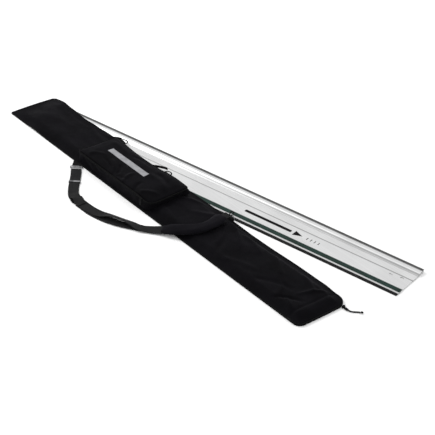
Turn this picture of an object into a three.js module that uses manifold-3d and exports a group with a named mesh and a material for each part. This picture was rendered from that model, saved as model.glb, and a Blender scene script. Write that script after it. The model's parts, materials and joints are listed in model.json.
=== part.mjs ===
// A 1.6 m aluminium guide rail for a plunge saw, with its nylon carry bag lying half over it.
//
// Millimetres, +Z up. The working frame is the bag's: X runs along the bag and is 0 at its open
// end, Y runs across it and is 0 at its near edge, and Z is 0 on the floor. The exported group
// shifts that frame so that the origin is under the middle of the whole arrangement.
import * as THREE from 'three';
import { mergeVertices } from 'three/addons/utils/BufferGeometryUtils.js';
import Module from 'manifold-3d';

const wasm = await Module();
wasm.setup();

// ---- Driving dimensions -------------------------------------------------------------------

const GAP = 0.3; // clearance between touching pieces

const RAIL = {
  length: 1600,
  width: 186,
  angle: THREE.MathUtils.degToRad(13.1), // how far the rail is turned from the bag
  corner: [63.5, 393.4], // its right-hand near corner, in the bag's frame
  plateLow: 1.8,
  plateTop: 4.0,
  ribTop: 11.0,
  guardWidth: 12.4,
  glide: [21, 41], // the glide strip's near and far edges, across the rail
  glideThickness: 0.7,
  groove: 111, // middle of the marking groove, across the rail
  rampStart: 145,
  rampEnd: 161,
  trimStart: 179,
  trimThickness: 0.9,
  skin: 2.2, // wall of the rib channel
  strips: [[16, 34], [116, 134]], // near and far edges of the two anti-slip strips
};

// Openings through the plate: [left, near, right, far] along and across the rail.
const HANGING_HOLE = { box: [-44, 96.5, -31, 105.5], corner: 4.4 };
const STOP_SLOT = { box: [-86, 93.2, -72, 96.8], corner: 1.7 };

const BAG = {
  length: 1685,
  widthRight: 228,
  widthLeft: 206,
  top: 24,
  sheet: 2.5, // fabric with its foam backing
  edgeGap: 1.3, // between the two panels at the bound edge
  rim: 4, // binding thickness with its clearance
  shoulder: 35, // width of the sloping gusset on each side
  endCorner: 32, // corner radius at the open end
  leftCorner: 16,
  flapLength: 60,
  leftSlope: 125,
};

const POCKET = {
  left: -1242,
  right: -805,
  near: 6,
  far: 190,
  corner: 14,
  wall: 2.5,
  spacing: 20, // between points along its outline
  clearance: 1.0, // under its wall, over the skin's folds
  gussetTop: 45.4,
  tapeTop: 48.6,
  lidThickness: 6,
};

const STRAP = { width: 40, thickness: 2.5, height: 4.3, heading: [0.756, -0.655] };
const PAD = { width: 60, thickness: 12 };
const RING = { width: 34, reach: 23, bar: 3.2 };

// How high the bag's underside rides over the rail's plate and over its rib. Each level starts at
// a line across the rail, keeps its height for a margin beyond it and then ramps down.
const RIDES = [
  { height: 5.9, start: 0, margin: 15, ramp: 25 },
  { height: 13, start: 145, margin: 30, ramp: 40 },
];
const RIDE_LEAD = 25; // extra margin beyond the rail's end
const RIDE_STRETCH = 0.6; // the ramps beyond the rail's end are longer by its inverse

const COLOURS = {
  aluminium: [0xd4d6d8, 0.35, 0.9],
  rubber: [0x111112, 0.7, 0],
  glide: [0x1e4a3c, 0.5, 0],
  fabric: [0x1a191d, 0.9, 0],
  binding: [0x0b0b0c, 0.8, 0],
  webbing: [0x2c2c2e, 0.85, 0],
  zip: [0x121213, 0.7, 0],
  metal: [0xc9cacc, 0.25, 1],
  plastic: [0x0e0e0f, 0.5, 0],
  print: [0xa9aaae, 0.5, 0],
};

// ---- Small helpers --------------------------------------------------------------------------

const materials = {};
for (const [name, [color, roughness, metalness]] of Object.entries(COLOURS)) {
  materials[name] = new THREE.MeshStandardMaterial({ color, roughness, metalness });
}

/** A named mesh in one of the object's finishes. */
function piece(name, geometry, finish) {
  const mesh = new THREE.Mesh(geometry, materials[finish]);
  mesh.name = name;
  return mesh;
}

/** Geometry from a list of points and a list of quads and triangles. */
function polyhedron(points, faces) {
  const index = [];
  for (const f of faces) {
    for (let k = 1; k + 1 < f.length; k += 1) index.push(f[0], f[k], f[k + 1]);
  }
  const geometry = new THREE.BufferGeometry();
  geometry.setAttribute('position', new THREE.Float32BufferAttribute(points.flat(), 3));
  geometry.setIndex(index);
  return geometry;
}

/**
 * A closed skin between a lower and an upper surface over a grid of plan points.
 * plan[i][j] is [x, y]; columns i run along X and rows j along Y.
 */
function sheet(plan, low, high) {
  const columns = plan.length;
  const rows = plan[0].length;
  const points = [];
  for (const surface of [low, high]) {
    for (const column of plan) {
      for (const [x, y] of column) points.push([x, y, surface(x, y)]);
    }
  }
  const at = (layer, i, j) => layer * columns * rows + i * rows + j;
  const faces = [];
  for (let i = 0; i + 1 < columns; i += 1) {
    for (let j = 0; j + 1 < rows; j += 1) {
      faces.push([at(1, i, j), at(1, i + 1, j), at(1, i + 1, j + 1), at(1, i, j + 1)]);
      faces.push([at(0, i, j), at(0, i, j + 1), at(0, i + 1, j + 1), at(0, i + 1, j)]);
    }
  }
  for (let i = 0; i + 1 < columns; i += 1) {
    const last = rows - 1;
    faces.push([at(0, i, 0), at(0, i + 1, 0), at(1, i + 1, 0), at(1, i, 0)]);
    faces.push([at(0, i + 1, last), at(0, i, last), at(1, i, last), at(1, i + 1, last)]);
  }
  for (let j = 0; j + 1 < rows; j += 1) {
    const last = columns - 1;
    faces.push([at(0, 0, j + 1), at(0, 0, j), at(1, 0, j), at(1, 0, j + 1)]);
    faces.push([at(0, last, j), at(0, last, j + 1), at(1, last, j + 1), at(1, last, j)]);
  }
  return polyhedron(points, faces);
}

/**
 * A four-sided bar swept through stations, each a list of its four corners in order.
 * The corners turn anticlockwise when seen from the bar's start, looking along it.
 */
function sweep(stations, closed = false) {
  const points = stations.flat();
  const count = stations.length;
  const faces = [];
  const spans = closed ? count : count - 1;
  for (let i = 0; i < spans; i += 1) {
    const a = i * 4;
    const b = ((i + 1) % count) * 4;
    for (let k = 0; k < 4; k += 1) {
      const n = (k + 1) % 4;
      faces.push([a + k, b + k, b + n, a + n]);
    }
  }
  if (!closed) {
    const end = (count - 1) * 4;
    faces.push([0, 1, 2, 3], [end + 3, end + 2, end + 1, end]);
  }
  return polyhedron(points, faces);
}

/** The unit direction of a plan path at point i, averaged over its neighbours. */
function heading(path, i, closed) {
  const n = path.length;
  const before = closed ? path[(i + n - 1) % n] : path[Math.max(0, i - 1)];
  const after = closed ? path[(i + 1) % n] : path[Math.min(n - 1, i + 1)];
  const dx = after[0] - before[0];
  const dy = after[1] - before[1];
  const size = Math.hypot(dx, dy);
  return [dx / size, dy / size];
}

/** An upright wall along a plan path, from inner to outer millimetres to the right of it. */
function wall(path, inner, outer, low, high, closed = false) {
  const stations = path.map(([x, y], i) => {
    const [dx, dy] = heading(path, i, closed);
    const offset = (d) => [x + dy * d, y - dx * d];
    const near = offset(inner);
    const far = offset(outer);
    const z0 = low(x, y);
    const z1 = high(x, y);
    return [[...near, z0], [...far, z0], [...far, z1], [...near, z1]];
  });
  return sweep(stations, closed);
}

/** A flat strap through stations {at: [x, y, z], width, thickness, tilt}, tilt lifting its left. */
function ribbon(stations) {
  const path = stations.map((s) => s.at);
  return sweep(stations.map(({ at, width, thickness, tilt = 0 }, i) => {
    const [dx, dy] = heading(path, i, false);
    const t = THREE.MathUtils.degToRad(tilt);
    const side = [-dy * Math.cos(t), dx * Math.cos(t), Math.sin(t)];
    const up = [dy * Math.sin(t), -dx * Math.sin(t), Math.cos(t)];
    const corner = (a, b) => at.map((v, k) => v + (side[k] * a * width + up[k] * b * thickness) / 2);
    return [corner(1, -1), corner(-1, -1), corner(-1, 1), corner(1, 1)];
  }));
}

/** A prism along X from a profile of [y, z] points. */
function prism(profile, start, length) {
  const shape = new THREE.Shape(profile.map(([y, z]) => new THREE.Vector2(y, z)));
  const geometry = new THREE.ExtrudeGeometry(shape, { depth: length, bevelEnabled: false });
  const turn = new THREE.Matrix4().makeBasis(
    new THREE.Vector3(0, 1, 0),
    new THREE.Vector3(0, 0, 1),
    new THREE.Vector3(1, 0, 0),
  );
  geometry.applyMatrix4(turn);
  geometry.translate(start, 0, 0);
  return geometry;
}

/** A flat plate from a plan outline. */
function plate(outline, low, high) {
  const shape = new THREE.Shape(outline.map(([x, y]) => new THREE.Vector2(x, y)));
  const geometry = new THREE.ExtrudeGeometry(shape, { depth: high - low, bevelEnabled: false });
  geometry.translate(0, 0, low);
  return geometry;
}

/** A box given by its lowest and highest corners. */
function block(low, high) {
  const size = low.map((v, k) => high[k] - v);
  const geometry = new THREE.BoxGeometry(...size);
  geometry.translate(...low.map((v, k) => v + size[k] / 2));
  return geometry;
}

/** Arc points about a centre, from one angle to another in degrees. */
function arc([cx, cy], radius, from, to, steps) {
  return Array.from({ length: steps + 1 }, (_, k) => {
    const a = THREE.MathUtils.degToRad(from + ((to - from) * k) / steps);
    return [cx + radius * Math.cos(a), cy + radius * Math.sin(a)];
  });
}

/** A rounded rectangle's outline, anticlockwise. */
function roundedRectangle(x0, y0, x1, y1, r, steps = 4) {
  return [
    ...arc([x1 - r, y0 + r], r, -90, 0, steps),
    ...arc([x1 - r, y1 - r], r, 0, 90, steps),
    ...arc([x0 + r, y1 - r], r, 90, 180, steps),
    ...arc([x0 + r, y0 + r], r, 180, 270, steps),
  ];
}

/** A manifold solid from a geometry, and back again. */
function toSolid(geometry) {
  const bare = geometry.clone();
  bare.deleteAttribute('normal');
  bare.deleteAttribute('uv');
  const merged = mergeVertices(bare, 1e-4);
  return new wasm.Manifold(new wasm.Mesh({
    numProp: 3,
    vertProperties: new Float32Array(merged.attributes.position.array),
    triVerts: new Uint32Array(merged.index.array),
  }));
}

function fromSolid(solid) {
  const mesh = solid.getMesh();
  const geometry = new THREE.BufferGeometry();
  geometry.setAttribute('position', new THREE.BufferAttribute(mesh.vertProperties, 3));
  geometry.setIndex(new THREE.BufferAttribute(mesh.triVerts, 1));
  return geometry;
}

/** A geometry with holes cut through it. */
function cut(geometry, ...holes) {
  return fromSolid(holes.reduce((solid, hole) => solid.subtract(toSolid(hole)), toSolid(geometry)));
}

// ---- The guide rail: X runs along it from 0 back to -length, Y across it from its near edge ---

function railExtrusion() {
  const { plateLow: low, plateTop: top, ribTop, guardWidth, groove, skin } = RAIL;
  const profile = [
    [guardWidth + GAP, low],
    [RAIL.rampStart + 2, low],
    [RAIL.rampEnd + 1, ribTop - skin],
    [RAIL.width - skin, ribTop - skin],
    [RAIL.width - skin, low],
    [RAIL.width, low],
    [RAIL.width, ribTop],
    [RAIL.rampEnd, ribTop],
    [RAIL.rampStart, top],
    [groove + 1.1, top],
    [groove, top - 0.9],
    [groove - 1.1, top],
    [guardWidth + GAP, top],
  ];
  const body = prism(profile, -RAIL.length, RAIL.length);
  const opening = ({ box, corner }) => plate(roundedRectangle(...box, corner), low - 1, top + 1);
  const cutThrough = cut(body, opening(HANGING_HOLE), opening(STOP_SLOT));
  return piece('rail_extrusion', cutThrough, 'aluminium');
}

function railStrips() {
  const { length, plateLow: low, plateTop: top } = RAIL;
  const strip = (name, y0, y1, z0, z1, finish) => (
    piece(name, block([-length, y0, z0], [0, y1, z1]), finish));
  const guard = [[0.4, 0.5], [RAIL.guardWidth, 1.2], [RAIL.guardWidth, top], [3, top - 0.2], [0, 1.2]];
  return [
    piece('splinter_guard', prism(guard, -length, length), 'rubber'),
    strip('glide_strip', ...RAIL.glide, top + GAP, top + GAP + RAIL.glideThickness, 'glide'),
    strip('rear_edge_trim', RAIL.trimStart, RAIL.width, RAIL.ribTop + GAP,
      RAIL.ribTop + GAP + RAIL.trimThickness, 'rubber'),
    strip('antislip_strip_front', ...RAIL.strips[0], 0, low - GAP, 'rubber'),
    strip('antislip_strip_rear', ...RAIL.strips[1], 0, low - GAP, 'rubber'),
  ];
}

function guideRail() {
  const rail = new THREE.Group();
  rail.add(railExtrusion(), ...railStrips());
  rail.rotation.z = RAIL.angle;
  rail.position.set(...RAIL.corner, 0);
  return rail;
}

// ---- The bag's body ---------------------------------------------------------------------------

/** The bag's outside width at x. */
function bagWidth(x) {
  return BAG.widthRight + ((BAG.widthRight - BAG.widthLeft) * x) / BAG.length;
}

/** How high the bag's underside stands at a point: it rides over the rail and ramps down. */
function underside(x, y) {
  const dx = x - RAIL.corner[0];
  const dy = y - RAIL.corner[1];
  const along = dx * Math.cos(RAIL.angle) + dy * Math.sin(RAIL.angle);
  const across = -dx * Math.sin(RAIL.angle) + dy * Math.cos(RAIL.angle);
  const beyond = Math.max(0, -RAIL.length - RIDE_LEAD - along) * RIDE_STRETCH;
  const levels = RIDES.map(({ height, start, margin, ramp }) => {
    const away = Math.hypot(Math.max(0, start - across), beyond);
    return height * THREE.MathUtils.clamp(1 - (away - margin) / ramp, 0, 1);
  });
  return Math.max(...levels);
}

const PANEL_LEFT = -BAG.length + BAG.rim;
const PANEL_RIGHT = -BAG.rim;
const CREASE = -BAG.flapLength;
const EDGE_HEIGHT = 2 * BAG.sheet + BAG.edgeGap; // the two panels together, at the bound edge

/** How far a rounded corner of this radius sets the outline back, at a distance from the edge. */
function setback(distance, radius) {
  if (distance >= radius) return 0;
  return radius - Math.sqrt(radius ** 2 - (radius - distance) ** 2);
}

/** Where the panels end at a share v across the bag: their left and right ends. */
function panelEnds(v) {
  const fromNear = v * (bagWidth(0) - 2 * BAG.rim);
  const fromFar = (1 - v) * (bagWidth(0) - 2 * BAG.rim);
  const right = PANEL_RIGHT - setback(Math.min(fromNear, fromFar), BAG.endCorner - BAG.rim);
  const left = PANEL_LEFT + setback(fromFar, BAG.leftCorner - BAG.rim);
  return [left, right];
}

/** The panels' y at x and a share v across. */
function across(x, v) {
  return BAG.rim + v * (bagWidth(x) - 2 * BAG.rim);
}

const EDGE_SHARES = [0, 0.013, 0.04, 0.08];
const SHARES = [...EDGE_SHARES, 0.165, 0.28, 0.39, 0.5, 0.61, 0.72, 0.835,
  ...EDGE_SHARES.map((v) => 1 - v).reverse()];
const SPACING = 32; // between stations along the bag, the same for all its panels

/** The stations between two limits: multiples of the spacing that stay clear of the corners. */
function innerStations(left, right) {
  const first = Math.ceil((left + BAG.leftCorner) / SPACING);
  const last = Math.floor((right - BAG.endCorner) / SPACING);
  return Array.from({ length: Math.max(0, last - first + 1) }, (_, k) => (first + k) * SPACING);
}

/** Plan points from a left to a right limit; a limit of null follows the bag's rounded end. */
function planGrid(shares, left, right) {
  const inner = innerStations(left ?? PANEL_LEFT, right ?? PANEL_RIGHT);
  const column = (place) => shares.map((v) => [place(v), across(place(v), v)]);
  return [
    column((v) => left ?? panelEnds(v)[0]),
    ...inner.map((x) => column(() => x)),
    column((v) => right ?? panelEnds(v)[1]),
  ];
}

// The bottom panel is sewn from four lengths: flat, rising, over the plate and over the rib.
const BOTTOM_LENGTHS = [
  { name: 'bag_bottom_right', left: -490, right: null },
  { name: 'bag_bottom_middle', left: -805, right: -490 },
  { name: 'bag_bottom_raised', left: -1105, right: -805 },
  { name: 'bag_bottom_left', left: null, right: -1105 },
];

function bottomPanels() {
  const upper = (x, y) => underside(x, y) + BAG.sheet;
  return BOTTOM_LENGTHS.map(({ name, left, right }) => {
    const end = right === null ? null : right - GAP;
    return piece(name, sheet(planGrid(SHARES, left, end), underside, upper), 'fabric');
  });
}

/** The top skin's height before the left end's slope: its lower and upper faces share it. */
function topHeight(x, y) {
  const edge = underside(x, y) + EDGE_HEIGHT;
  const inset = Math.min(y, bagWidth(x) - y) - BAG.rim;
  const side = THREE.MathUtils.clamp(inset / BAG.shoulder, 0, 1);
  const end = THREE.MathUtils.clamp((x - PANEL_LEFT) / BAG.leftSlope, 0, 1);
  return edge + (BAG.top - edge) * side * end;
}

/** The shares across the bag where the flat top starts and stops, at x. */
function shoulderShare(x) {
  return BAG.shoulder / (bagWidth(x) - 2 * BAG.rim);
}

/** Plan of a strip of the top skin between two functions of x that give its y. */
function stripPlan(near, far, left, right, rows) {
  return [left, ...innerStations(left, right), right].map((x) => (
    Array.from({ length: rows + 1 }, (_, j) => [x, near(x) + ((far(x) - near(x)) * j) / rows])));
}

function topSkin() {
  const left = PANEL_LEFT + BAG.leftCorner - BAG.rim;
  const slopeTop = PANEL_LEFT + BAG.leftSlope;
  const lengths = [
    { suffix: '', from: slopeTop, to: CREASE - GAP },
    { suffix: '_slope', from: left, to: slopeTop - GAP },
  ];
  const nearLine = (x) => across(x, shoulderShare(x));
  const farLine = (x) => across(x, 1 - shoulderShare(x));
  const skin = (x, y) => topHeight(x, y) - BAG.sheet;
  const strips = [
    { name: 'bag_top_panel', near: nearLine, far: farLine, rows: 5 },
    { name: 'near_gusset', near: (x) => across(x, 0), far: (x) => nearLine(x) - GAP, rows: 3 },
    { name: 'far_gusset', near: (x) => farLine(x) + GAP, far: (x) => across(x, 1), rows: 3 },
  ];
  return [
    ...lengths.flatMap(({ suffix, from, to }) => strips.map(({ name, near, far, rows }) => {
      const plan = stripPlan(near, far, from, to, rows);
      return piece(name + suffix, sheet(plan, skin, topHeight), 'fabric');
    })),
    piece('left_end_gusset', sheet(
      planGrid(SHARES, null, left - GAP),
      (x, y) => underside(x, y) + BAG.sheet + BAG.edgeGap,
      (x, y) => underside(x, y) + EDGE_HEIGHT,
    ), 'fabric'),
  ];
}

/** The end flap's top: the top skin's height, sloping down from the crease to the zip. */
const FLAP_EDGE = 9.2;
const FLAP_CORNER_SHARES = [0, 0.013, 0.04, 0.08, shoulderShare(0)];
const FLAP_SHARES = [...FLAP_CORNER_SHARES, 0.5, ...FLAP_CORNER_SHARES.map((v) => 1 - v).reverse()];

function flapHeight(x, y) {
  const inset = Math.min(y, bagWidth(x) - y) - BAG.rim;
  const side = THREE.MathUtils.clamp(inset / BAG.shoulder, 0, 1);
  const end = THREE.MathUtils.clamp((PANEL_RIGHT - x) / (PANEL_RIGHT - CREASE), 0, 1);
  return FLAP_EDGE + (BAG.top - FLAP_EDGE) * side * end;
}

function endFlap() {
  const plan = planGrid(FLAP_SHARES, CREASE, null);
  return piece('end_flap', sheet(plan, (x, y) => flapHeight(x, y) - BAG.sheet, flapHeight), 'fabric');
}

/** The panels' outline as one path, clockwise from the crease's near end round the left to it. */
function outlineParts() {
  const alongEdge = (from) => [from, ...innerStations(from, CREASE), CREASE - GAP];
  const nearLong = alongEdge(PANEL_LEFT).reverse().map((x) => [x, across(x, 0)]);
  const leftEnd = SHARES.map((v) => panelEnds(v)[0]).map((x, j) => [x, across(x, SHARES[j])]);
  const leftTurn = leftEnd[leftEnd.length - 1][0];
  const farLong = alongEdge(leftTurn).map((x) => [x, across(x, 1)]);
  const rightEnd = SHARES.map((v) => panelEnds(v)[1]).map((x, j) => [x, across(x, SHARES[j])]);
  return {
    nearLong,
    leftEnd,
    farLong,
    rightEnd: [[CREASE + GAP, across(CREASE, 0)], ...rightEnd, [CREASE + GAP, across(CREASE, 1)]],
  };
}

const RIM_INNER = 0.45;
const RIM_OUTER = 3.85;

function bindings() {
  const { nearLong, leftEnd, farLong } = outlineParts();
  const bound = (name, path) => piece(name,
    wall(path, -RIM_OUTER, -RIM_INNER, underside, (x, y) => underside(x, y) + EDGE_HEIGHT + 0.4), 'binding');
  return [
    bound('near_edge_binding', nearLong),
    bound('left_end_binding', leftEnd.slice(1, -2)),
    bound('far_edge_binding', farLong),
  ];
}

const ZIP_SPLIT = 5.0;

function endZip() {
  const { rightEnd } = outlineParts();
  const rim = (low, high) => wall(rightEnd, RIM_INNER, RIM_OUTER, () => low, () => high);
  const stopY = [BAG.endCorner + 2, bagWidth(0) - 18];
  const stop = (name, y) => piece(name, block([0.5, y - 2, 2.5], [2.3, y + 2, 6]), 'metal');
  return {
    tape: piece('main_zip_tape', rim(0, ZIP_SPLIT), 'zip'),
    binding: piece('end_flap_binding', rim(ZIP_SPLIT + GAP, FLAP_EDGE + 0.4), 'binding'),
    stops: [stop('main_zip_stop_near', stopY[0]), stop('main_zip_stop_far', stopY[1])],
  };
}

// ---- The main zip's slider, its puller and the pull cord -------------------------------------

const SLIDER = { x: 1.2, y: bagWidth(0) - 28, length: 12, width: 8, low: 1.2, high: 8.6 };
const PULLER = { start: SLIDER.x + SLIDER.width + 2.5, length: 17, width: 10, low: 3, high: 5 };
const CORD = { diameter: 5, radius: 2.5 };

/** The pull cord's centreline, from the puller's end along the floor to its knot. */
const CORD_ROUTE = [
  [29.2, 200.6, 4.0], [31.4, 200.9, 4.0], [33.8, 201.6, 3.8], [36.2, 202.8, 3.5],
  [38.5, 204.4, 3.2], [40.7, 206.3, 2.9], [42.8, 208.5, 2.8], [44.8, 210.9, 2.7],
  [46.8, 213.4, 2.7], [48.8, 215.9, 2.7], [50.9, 218.3, 2.7], [53.1, 220.6, 2.8],
  [55.4, 222.7, 3.0], [57.8, 224.6, 3.2], [60.3, 226.2, 3.5],
];
const KNOT = { at: [64.6, 228.6, 5.3], radius: 5 };

function mainZipSlider() {
  const { x, y, length, width, low, high } = SLIDER;
  const body = block([x, y - length / 2, low], [x + width, y + length / 2, high]);
  return piece('main_zip_slider', body, 'plastic');
}

function pullTab() {
  const { start, length, width, low, high } = PULLER;
  const y = SLIDER.y;
  const outline = [
    ...arc([start + length - width / 2, y], width / 2, -90, 90, 6),
    [start, y + width / 2],
    [start, y - width / 2],
  ];
  return piece('main_zip_puller', plate(outline, low, high), 'plastic');
}

function pullCord() {
  const curve = new THREE.CatmullRomCurve3(CORD_ROUTE.map((p) => new THREE.Vector3(...p)));
  const section = new THREE.Shape(
    arc([0, 0], CORD.radius, 0, 315, 7).map(([a, b]) => new THREE.Vector2(a, b)),
  );
  const tube = new THREE.ExtrudeGeometry(section, { steps: CORD_ROUTE.length, extrudePath: curve });
  const knot = new THREE.SphereGeometry(KNOT.radius, 12, 8);
  knot.translate(...KNOT.at);
  return [piece('pull_cord', tube, 'webbing'), piece('pull_cord_knot', knot, 'webbing')];
}

// ---- The pocket ---------------------------------------------------------------------------------

/** The pocket's outline with points along its sides, so that its wall can follow the skin below. */
function pocketPath() {
  const { left, right, near, far, corner, spacing } = POCKET;
  const corners = roundedRectangle(left, near, right, far, corner);
  return corners.flatMap(([x0, y0], i) => {
    const [x1, y1] = corners[(i + 1) % corners.length];
    const count = Math.max(1, Math.round(Math.hypot(x1 - x0, y1 - y0) / spacing));
    return Array.from({ length: count }, (_, k) => [
      x0 + ((x1 - x0) * k) / count,
      y0 + ((y1 - y0) * k) / count,
    ]);
  });
}

/** Where the pocket's wall stands on the top skin, taken at its inner face, which is the higher. */
function pocketFoot(x, y) {
  const { near, far, wall: thickness, clearance } = POCKET;
  return topHeight(x, THREE.MathUtils.clamp(y, near + thickness, far - thickness)) + clearance;
}

function pocketGusset() {
  const geometry = wall(pocketPath(), -POCKET.wall, 0, pocketFoot, () => POCKET.gussetTop, true);
  return piece('pocket_gusset', geometry, 'fabric');
}

function pocketZipTape() {
  const { left, right, near, far, corner, wall: thickness, gussetTop, tapeTop } = POCKET;
  const path = roundedRectangle(left, near, right, far, corner);
  const geometry = wall(path, -thickness, 0, () => gussetTop + GAP, () => tapeTop, true);
  return piece('pocket_zip_tape', geometry, 'zip');
}

function pocketLid() {
  const { left, right, near, far, corner, tapeTop, lidThickness } = POCKET;
  const low = tapeTop + GAP;
  const outline = roundedRectangle(left, near, right, far, corner);
  return piece('pocket_lid', plate(outline, low, low + lidThickness), 'fabric');
}

const BAR = { box: [-1170, 92, -950, 118], corner: 6, thickness: 0.5 };

/** A plain reflective bar on the pocket lid. */
function reflectiveBar() {
  const { box, corner, thickness } = BAR;
  const low = POCKET.tapeTop + GAP + POCKET.lidThickness + GAP;
  return piece('reflective_bar', plate(roundedRectangle(...box, corner), low, low + thickness), 'print');
}

const POCKET_SLIDER = { x: -850, half: 6, depth: 4, below: 5.5, above: 1 };
const POCKET_PULLER = { half: 4, thickness: 1.9, below: 27, above: -2 };

function pocketSlider() {
  const { x, half, depth, below, above } = POCKET_SLIDER;
  const tab = POCKET_PULLER;
  const face = POCKET.near - GAP;
  const front = face - depth;
  const top = POCKET.tapeTop;
  const body = block([x - half, front, top - below], [x + half, face, top + above]);
  const pull = block(
    [x - tab.half, front - GAP - tab.thickness, top - tab.below],
    [x + tab.half, front - GAP, top + tab.above],
  );
  return {
    slider: piece('pocket_zip_slider', body, 'metal'),
    puller: piece('pocket_zip_puller', pull, 'plastic'),
  };
}

// ---- Webbing tabs and rings on the far edge -----------------------------------------------------

/** A D-shaped ring in its own XY plane: the straight bar on X, the bow towards +Y. */
function ringOutline() {
  const { width, reach, bar } = RING;
  const r = width / 2 - bar / 2;
  const straight = reach - bar - r;
  return [[-r, 0], [r, 0], ...arc([0, straight], r, 0, 180, 8)];
}

function dRing(name, x, y, z, tilt) {
  const half = RING.bar / 2;
  const ring = piece(name, wall(ringOutline(), -half, half, () => -half, () => half, true), 'metal');
  ring.rotation.x = tilt;
  ring.position.set(x, y, z);
  return ring;
}

/** A folded webbing tab, open towards the bag, holding a ring's bar at (y, z). */
function ringTab(name, x, y, z) {
  const half = RING.bar * Math.SQRT1_2 + GAP; // the square bar turns inside the fold
  const skin = 1.6;
  const root = bagWidth(x) + GAP;
  const nose = y + half + skin;
  const profile = [
    [root, z - half - skin], [nose, z - half - skin], [nose, z + half + skin], [root, z + half + skin],
    [root, z + half], [nose - skin, z + half], [nose - skin, z - half], [root, z - half],
  ];
  return piece(name, prism(profile, x - 11, 22), 'webbing');
}

const RING_PLACES = [
  { x: -1243, z: 16.5, tilt: 0 },
  { x: -975, z: 10, tilt: 0 },
  { x: -606, z: 10, tilt: Math.PI / 2 },
];

function ringStations() {
  return RING_PLACES.map(({ x, z, tilt }, i) => {
    const y = bagWidth(x) + 6.5;
    return {
      tab: ringTab(`ring_tab_${i + 1}`, x, y, z),
      ring: dRing(`d_ring_${i + 1}`, x, y, z, tilt),
    };
  });
}

// ---- The shoulder strap -----------------------------------------------------------------------

/** A ribbon through points [x, y, z, tilt]. */
function webbing(name, points, width = STRAP.width, thickness = STRAP.thickness, finish = 'webbing') {
  const stations = points.map(([x, y, z, tilt = 0]) => ({ at: [x, y, z], width, thickness, tilt }));
  return piece(name, ribbon(stations), finish);
}

const ANCHOR = { at: [-1212, -22], turn: THREE.MathUtils.degToRad(-39), length: 48, width: 15, bar: 3 };
const BUCKLE = { at: [-1131, -88.3], length: 9, wall: 1.6, clear: 0.8, corner: 2.2 };
const ADJUSTER = { at: [-1029, -150.5], turn: THREE.MathUtils.degToRad(-14), length: 24, width: 46, high: 9 };
const HOOK = { x: -606, eyeY: 206, loopY: bagWidth(-606) + 6.5, z: 33.2 };

/** A closed ring of square bar, from an outline in its own plane. */
function anchorRing() {
  const { at, turn, length, width, bar } = ANCHOR;
  const outline = roundedRectangle(-width / 2, -length / 2, width / 2, length / 2, 4, 3);
  const ring = piece('anchor_ring', wall(outline, -bar, 0, () => 2.2, () => 2.2 + bar, true), 'metal');
  ring.rotation.z = turn;
  ring.position.set(...at, 0);
  return ring;
}

function anchorTab() {
  const outline = [[-1258, -GAP - 0.1], [-1229.3, -29.9], [-1208.5, -3.9], [-1209.5, -GAP - 0.1]];
  return piece('strap_anchor_tab', plate(outline, 2.4, 5), 'webbing');
}

/** A metal keeper that the webbing runs through. */
function strapBuckle() {
  const { at, length, wall: thickness, clear, corner } = BUCKLE;
  const w = STRAP.width / 2 + clear;
  const h = STRAP.thickness / 2 + clear;
  const outline = roundedRectangle(-w - thickness, -h - thickness, w + thickness, h + thickness, corner, 3);
  const half = length / 2;
  const sleeve = piece('strap_buckle', wall(outline, -thickness, 0, () => -half, () => half, true), 'metal');
  // The sleeve's own Z runs along the webbing, its X across it and its Y up.
  const along = new THREE.Vector3(...STRAP.heading, 0).normalize();
  const upward = new THREE.Vector3(0, 0, 1);
  const sideways = new THREE.Vector3().crossVectors(upward, along);
  sleeve.quaternion.setFromRotationMatrix(new THREE.Matrix4().makeBasis(sideways, upward, along));
  sleeve.position.set(...at, STRAP.height);
  return sleeve;
}

function strapAdjuster() {
  const { at, turn, length, width, high } = ADJUSTER;
  const outline = roundedRectangle(-length / 2, -width / 2, length / 2, width / 2, 5, 3);
  const body = piece('strap_adjuster', plate(outline, 0.4, high), 'plastic');
  body.rotation.z = turn;
  body.position.set(...at, 0);
  return body;
}

const PAD_ROUTE = [
  [-694, -26, 12, 10], [-668, -8, 19, 20], [-637, 19, 27, 14], [-611, 52, 32, 4],
  [-598, 92, 33.5], [-596, 130, 33.5], [-601, 163, 33.2], [-606, 192, 33.2],
];

function strapPieces() {
  const z = STRAP.height;
  return [
    anchorTab(),
    webbing('strap_end_section', [
      [-1200.5, -31, z], [-1162, -61.4, z], [-1096, -118.6, z], [-1054, -147, z, 6],
    ]),
    strapAdjuster(),
    webbing('strap_main_section', [
      [-1010, -155.5, z, 4], [-955, -152, z], [-908, -146, z + 1.5, -3],
      [-868, -128, 14, -35], [-828, -107, 17, -50], [-788, -91, 12, -30],
      [-753, -75, 6, -8], [-727, -54, z + 1], [-702, -33.5, 8.6, 8],
    ]),
    webbing('shoulder_pad', PAD_ROUTE, PAD.width, PAD.thickness, 'fabric'),
    webbing('strap_hook_section', [[-606, 195.4, HOOK.z], [-606, HOOK.eyeY - 2, HOOK.z]], 30),
  ];
}

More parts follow.
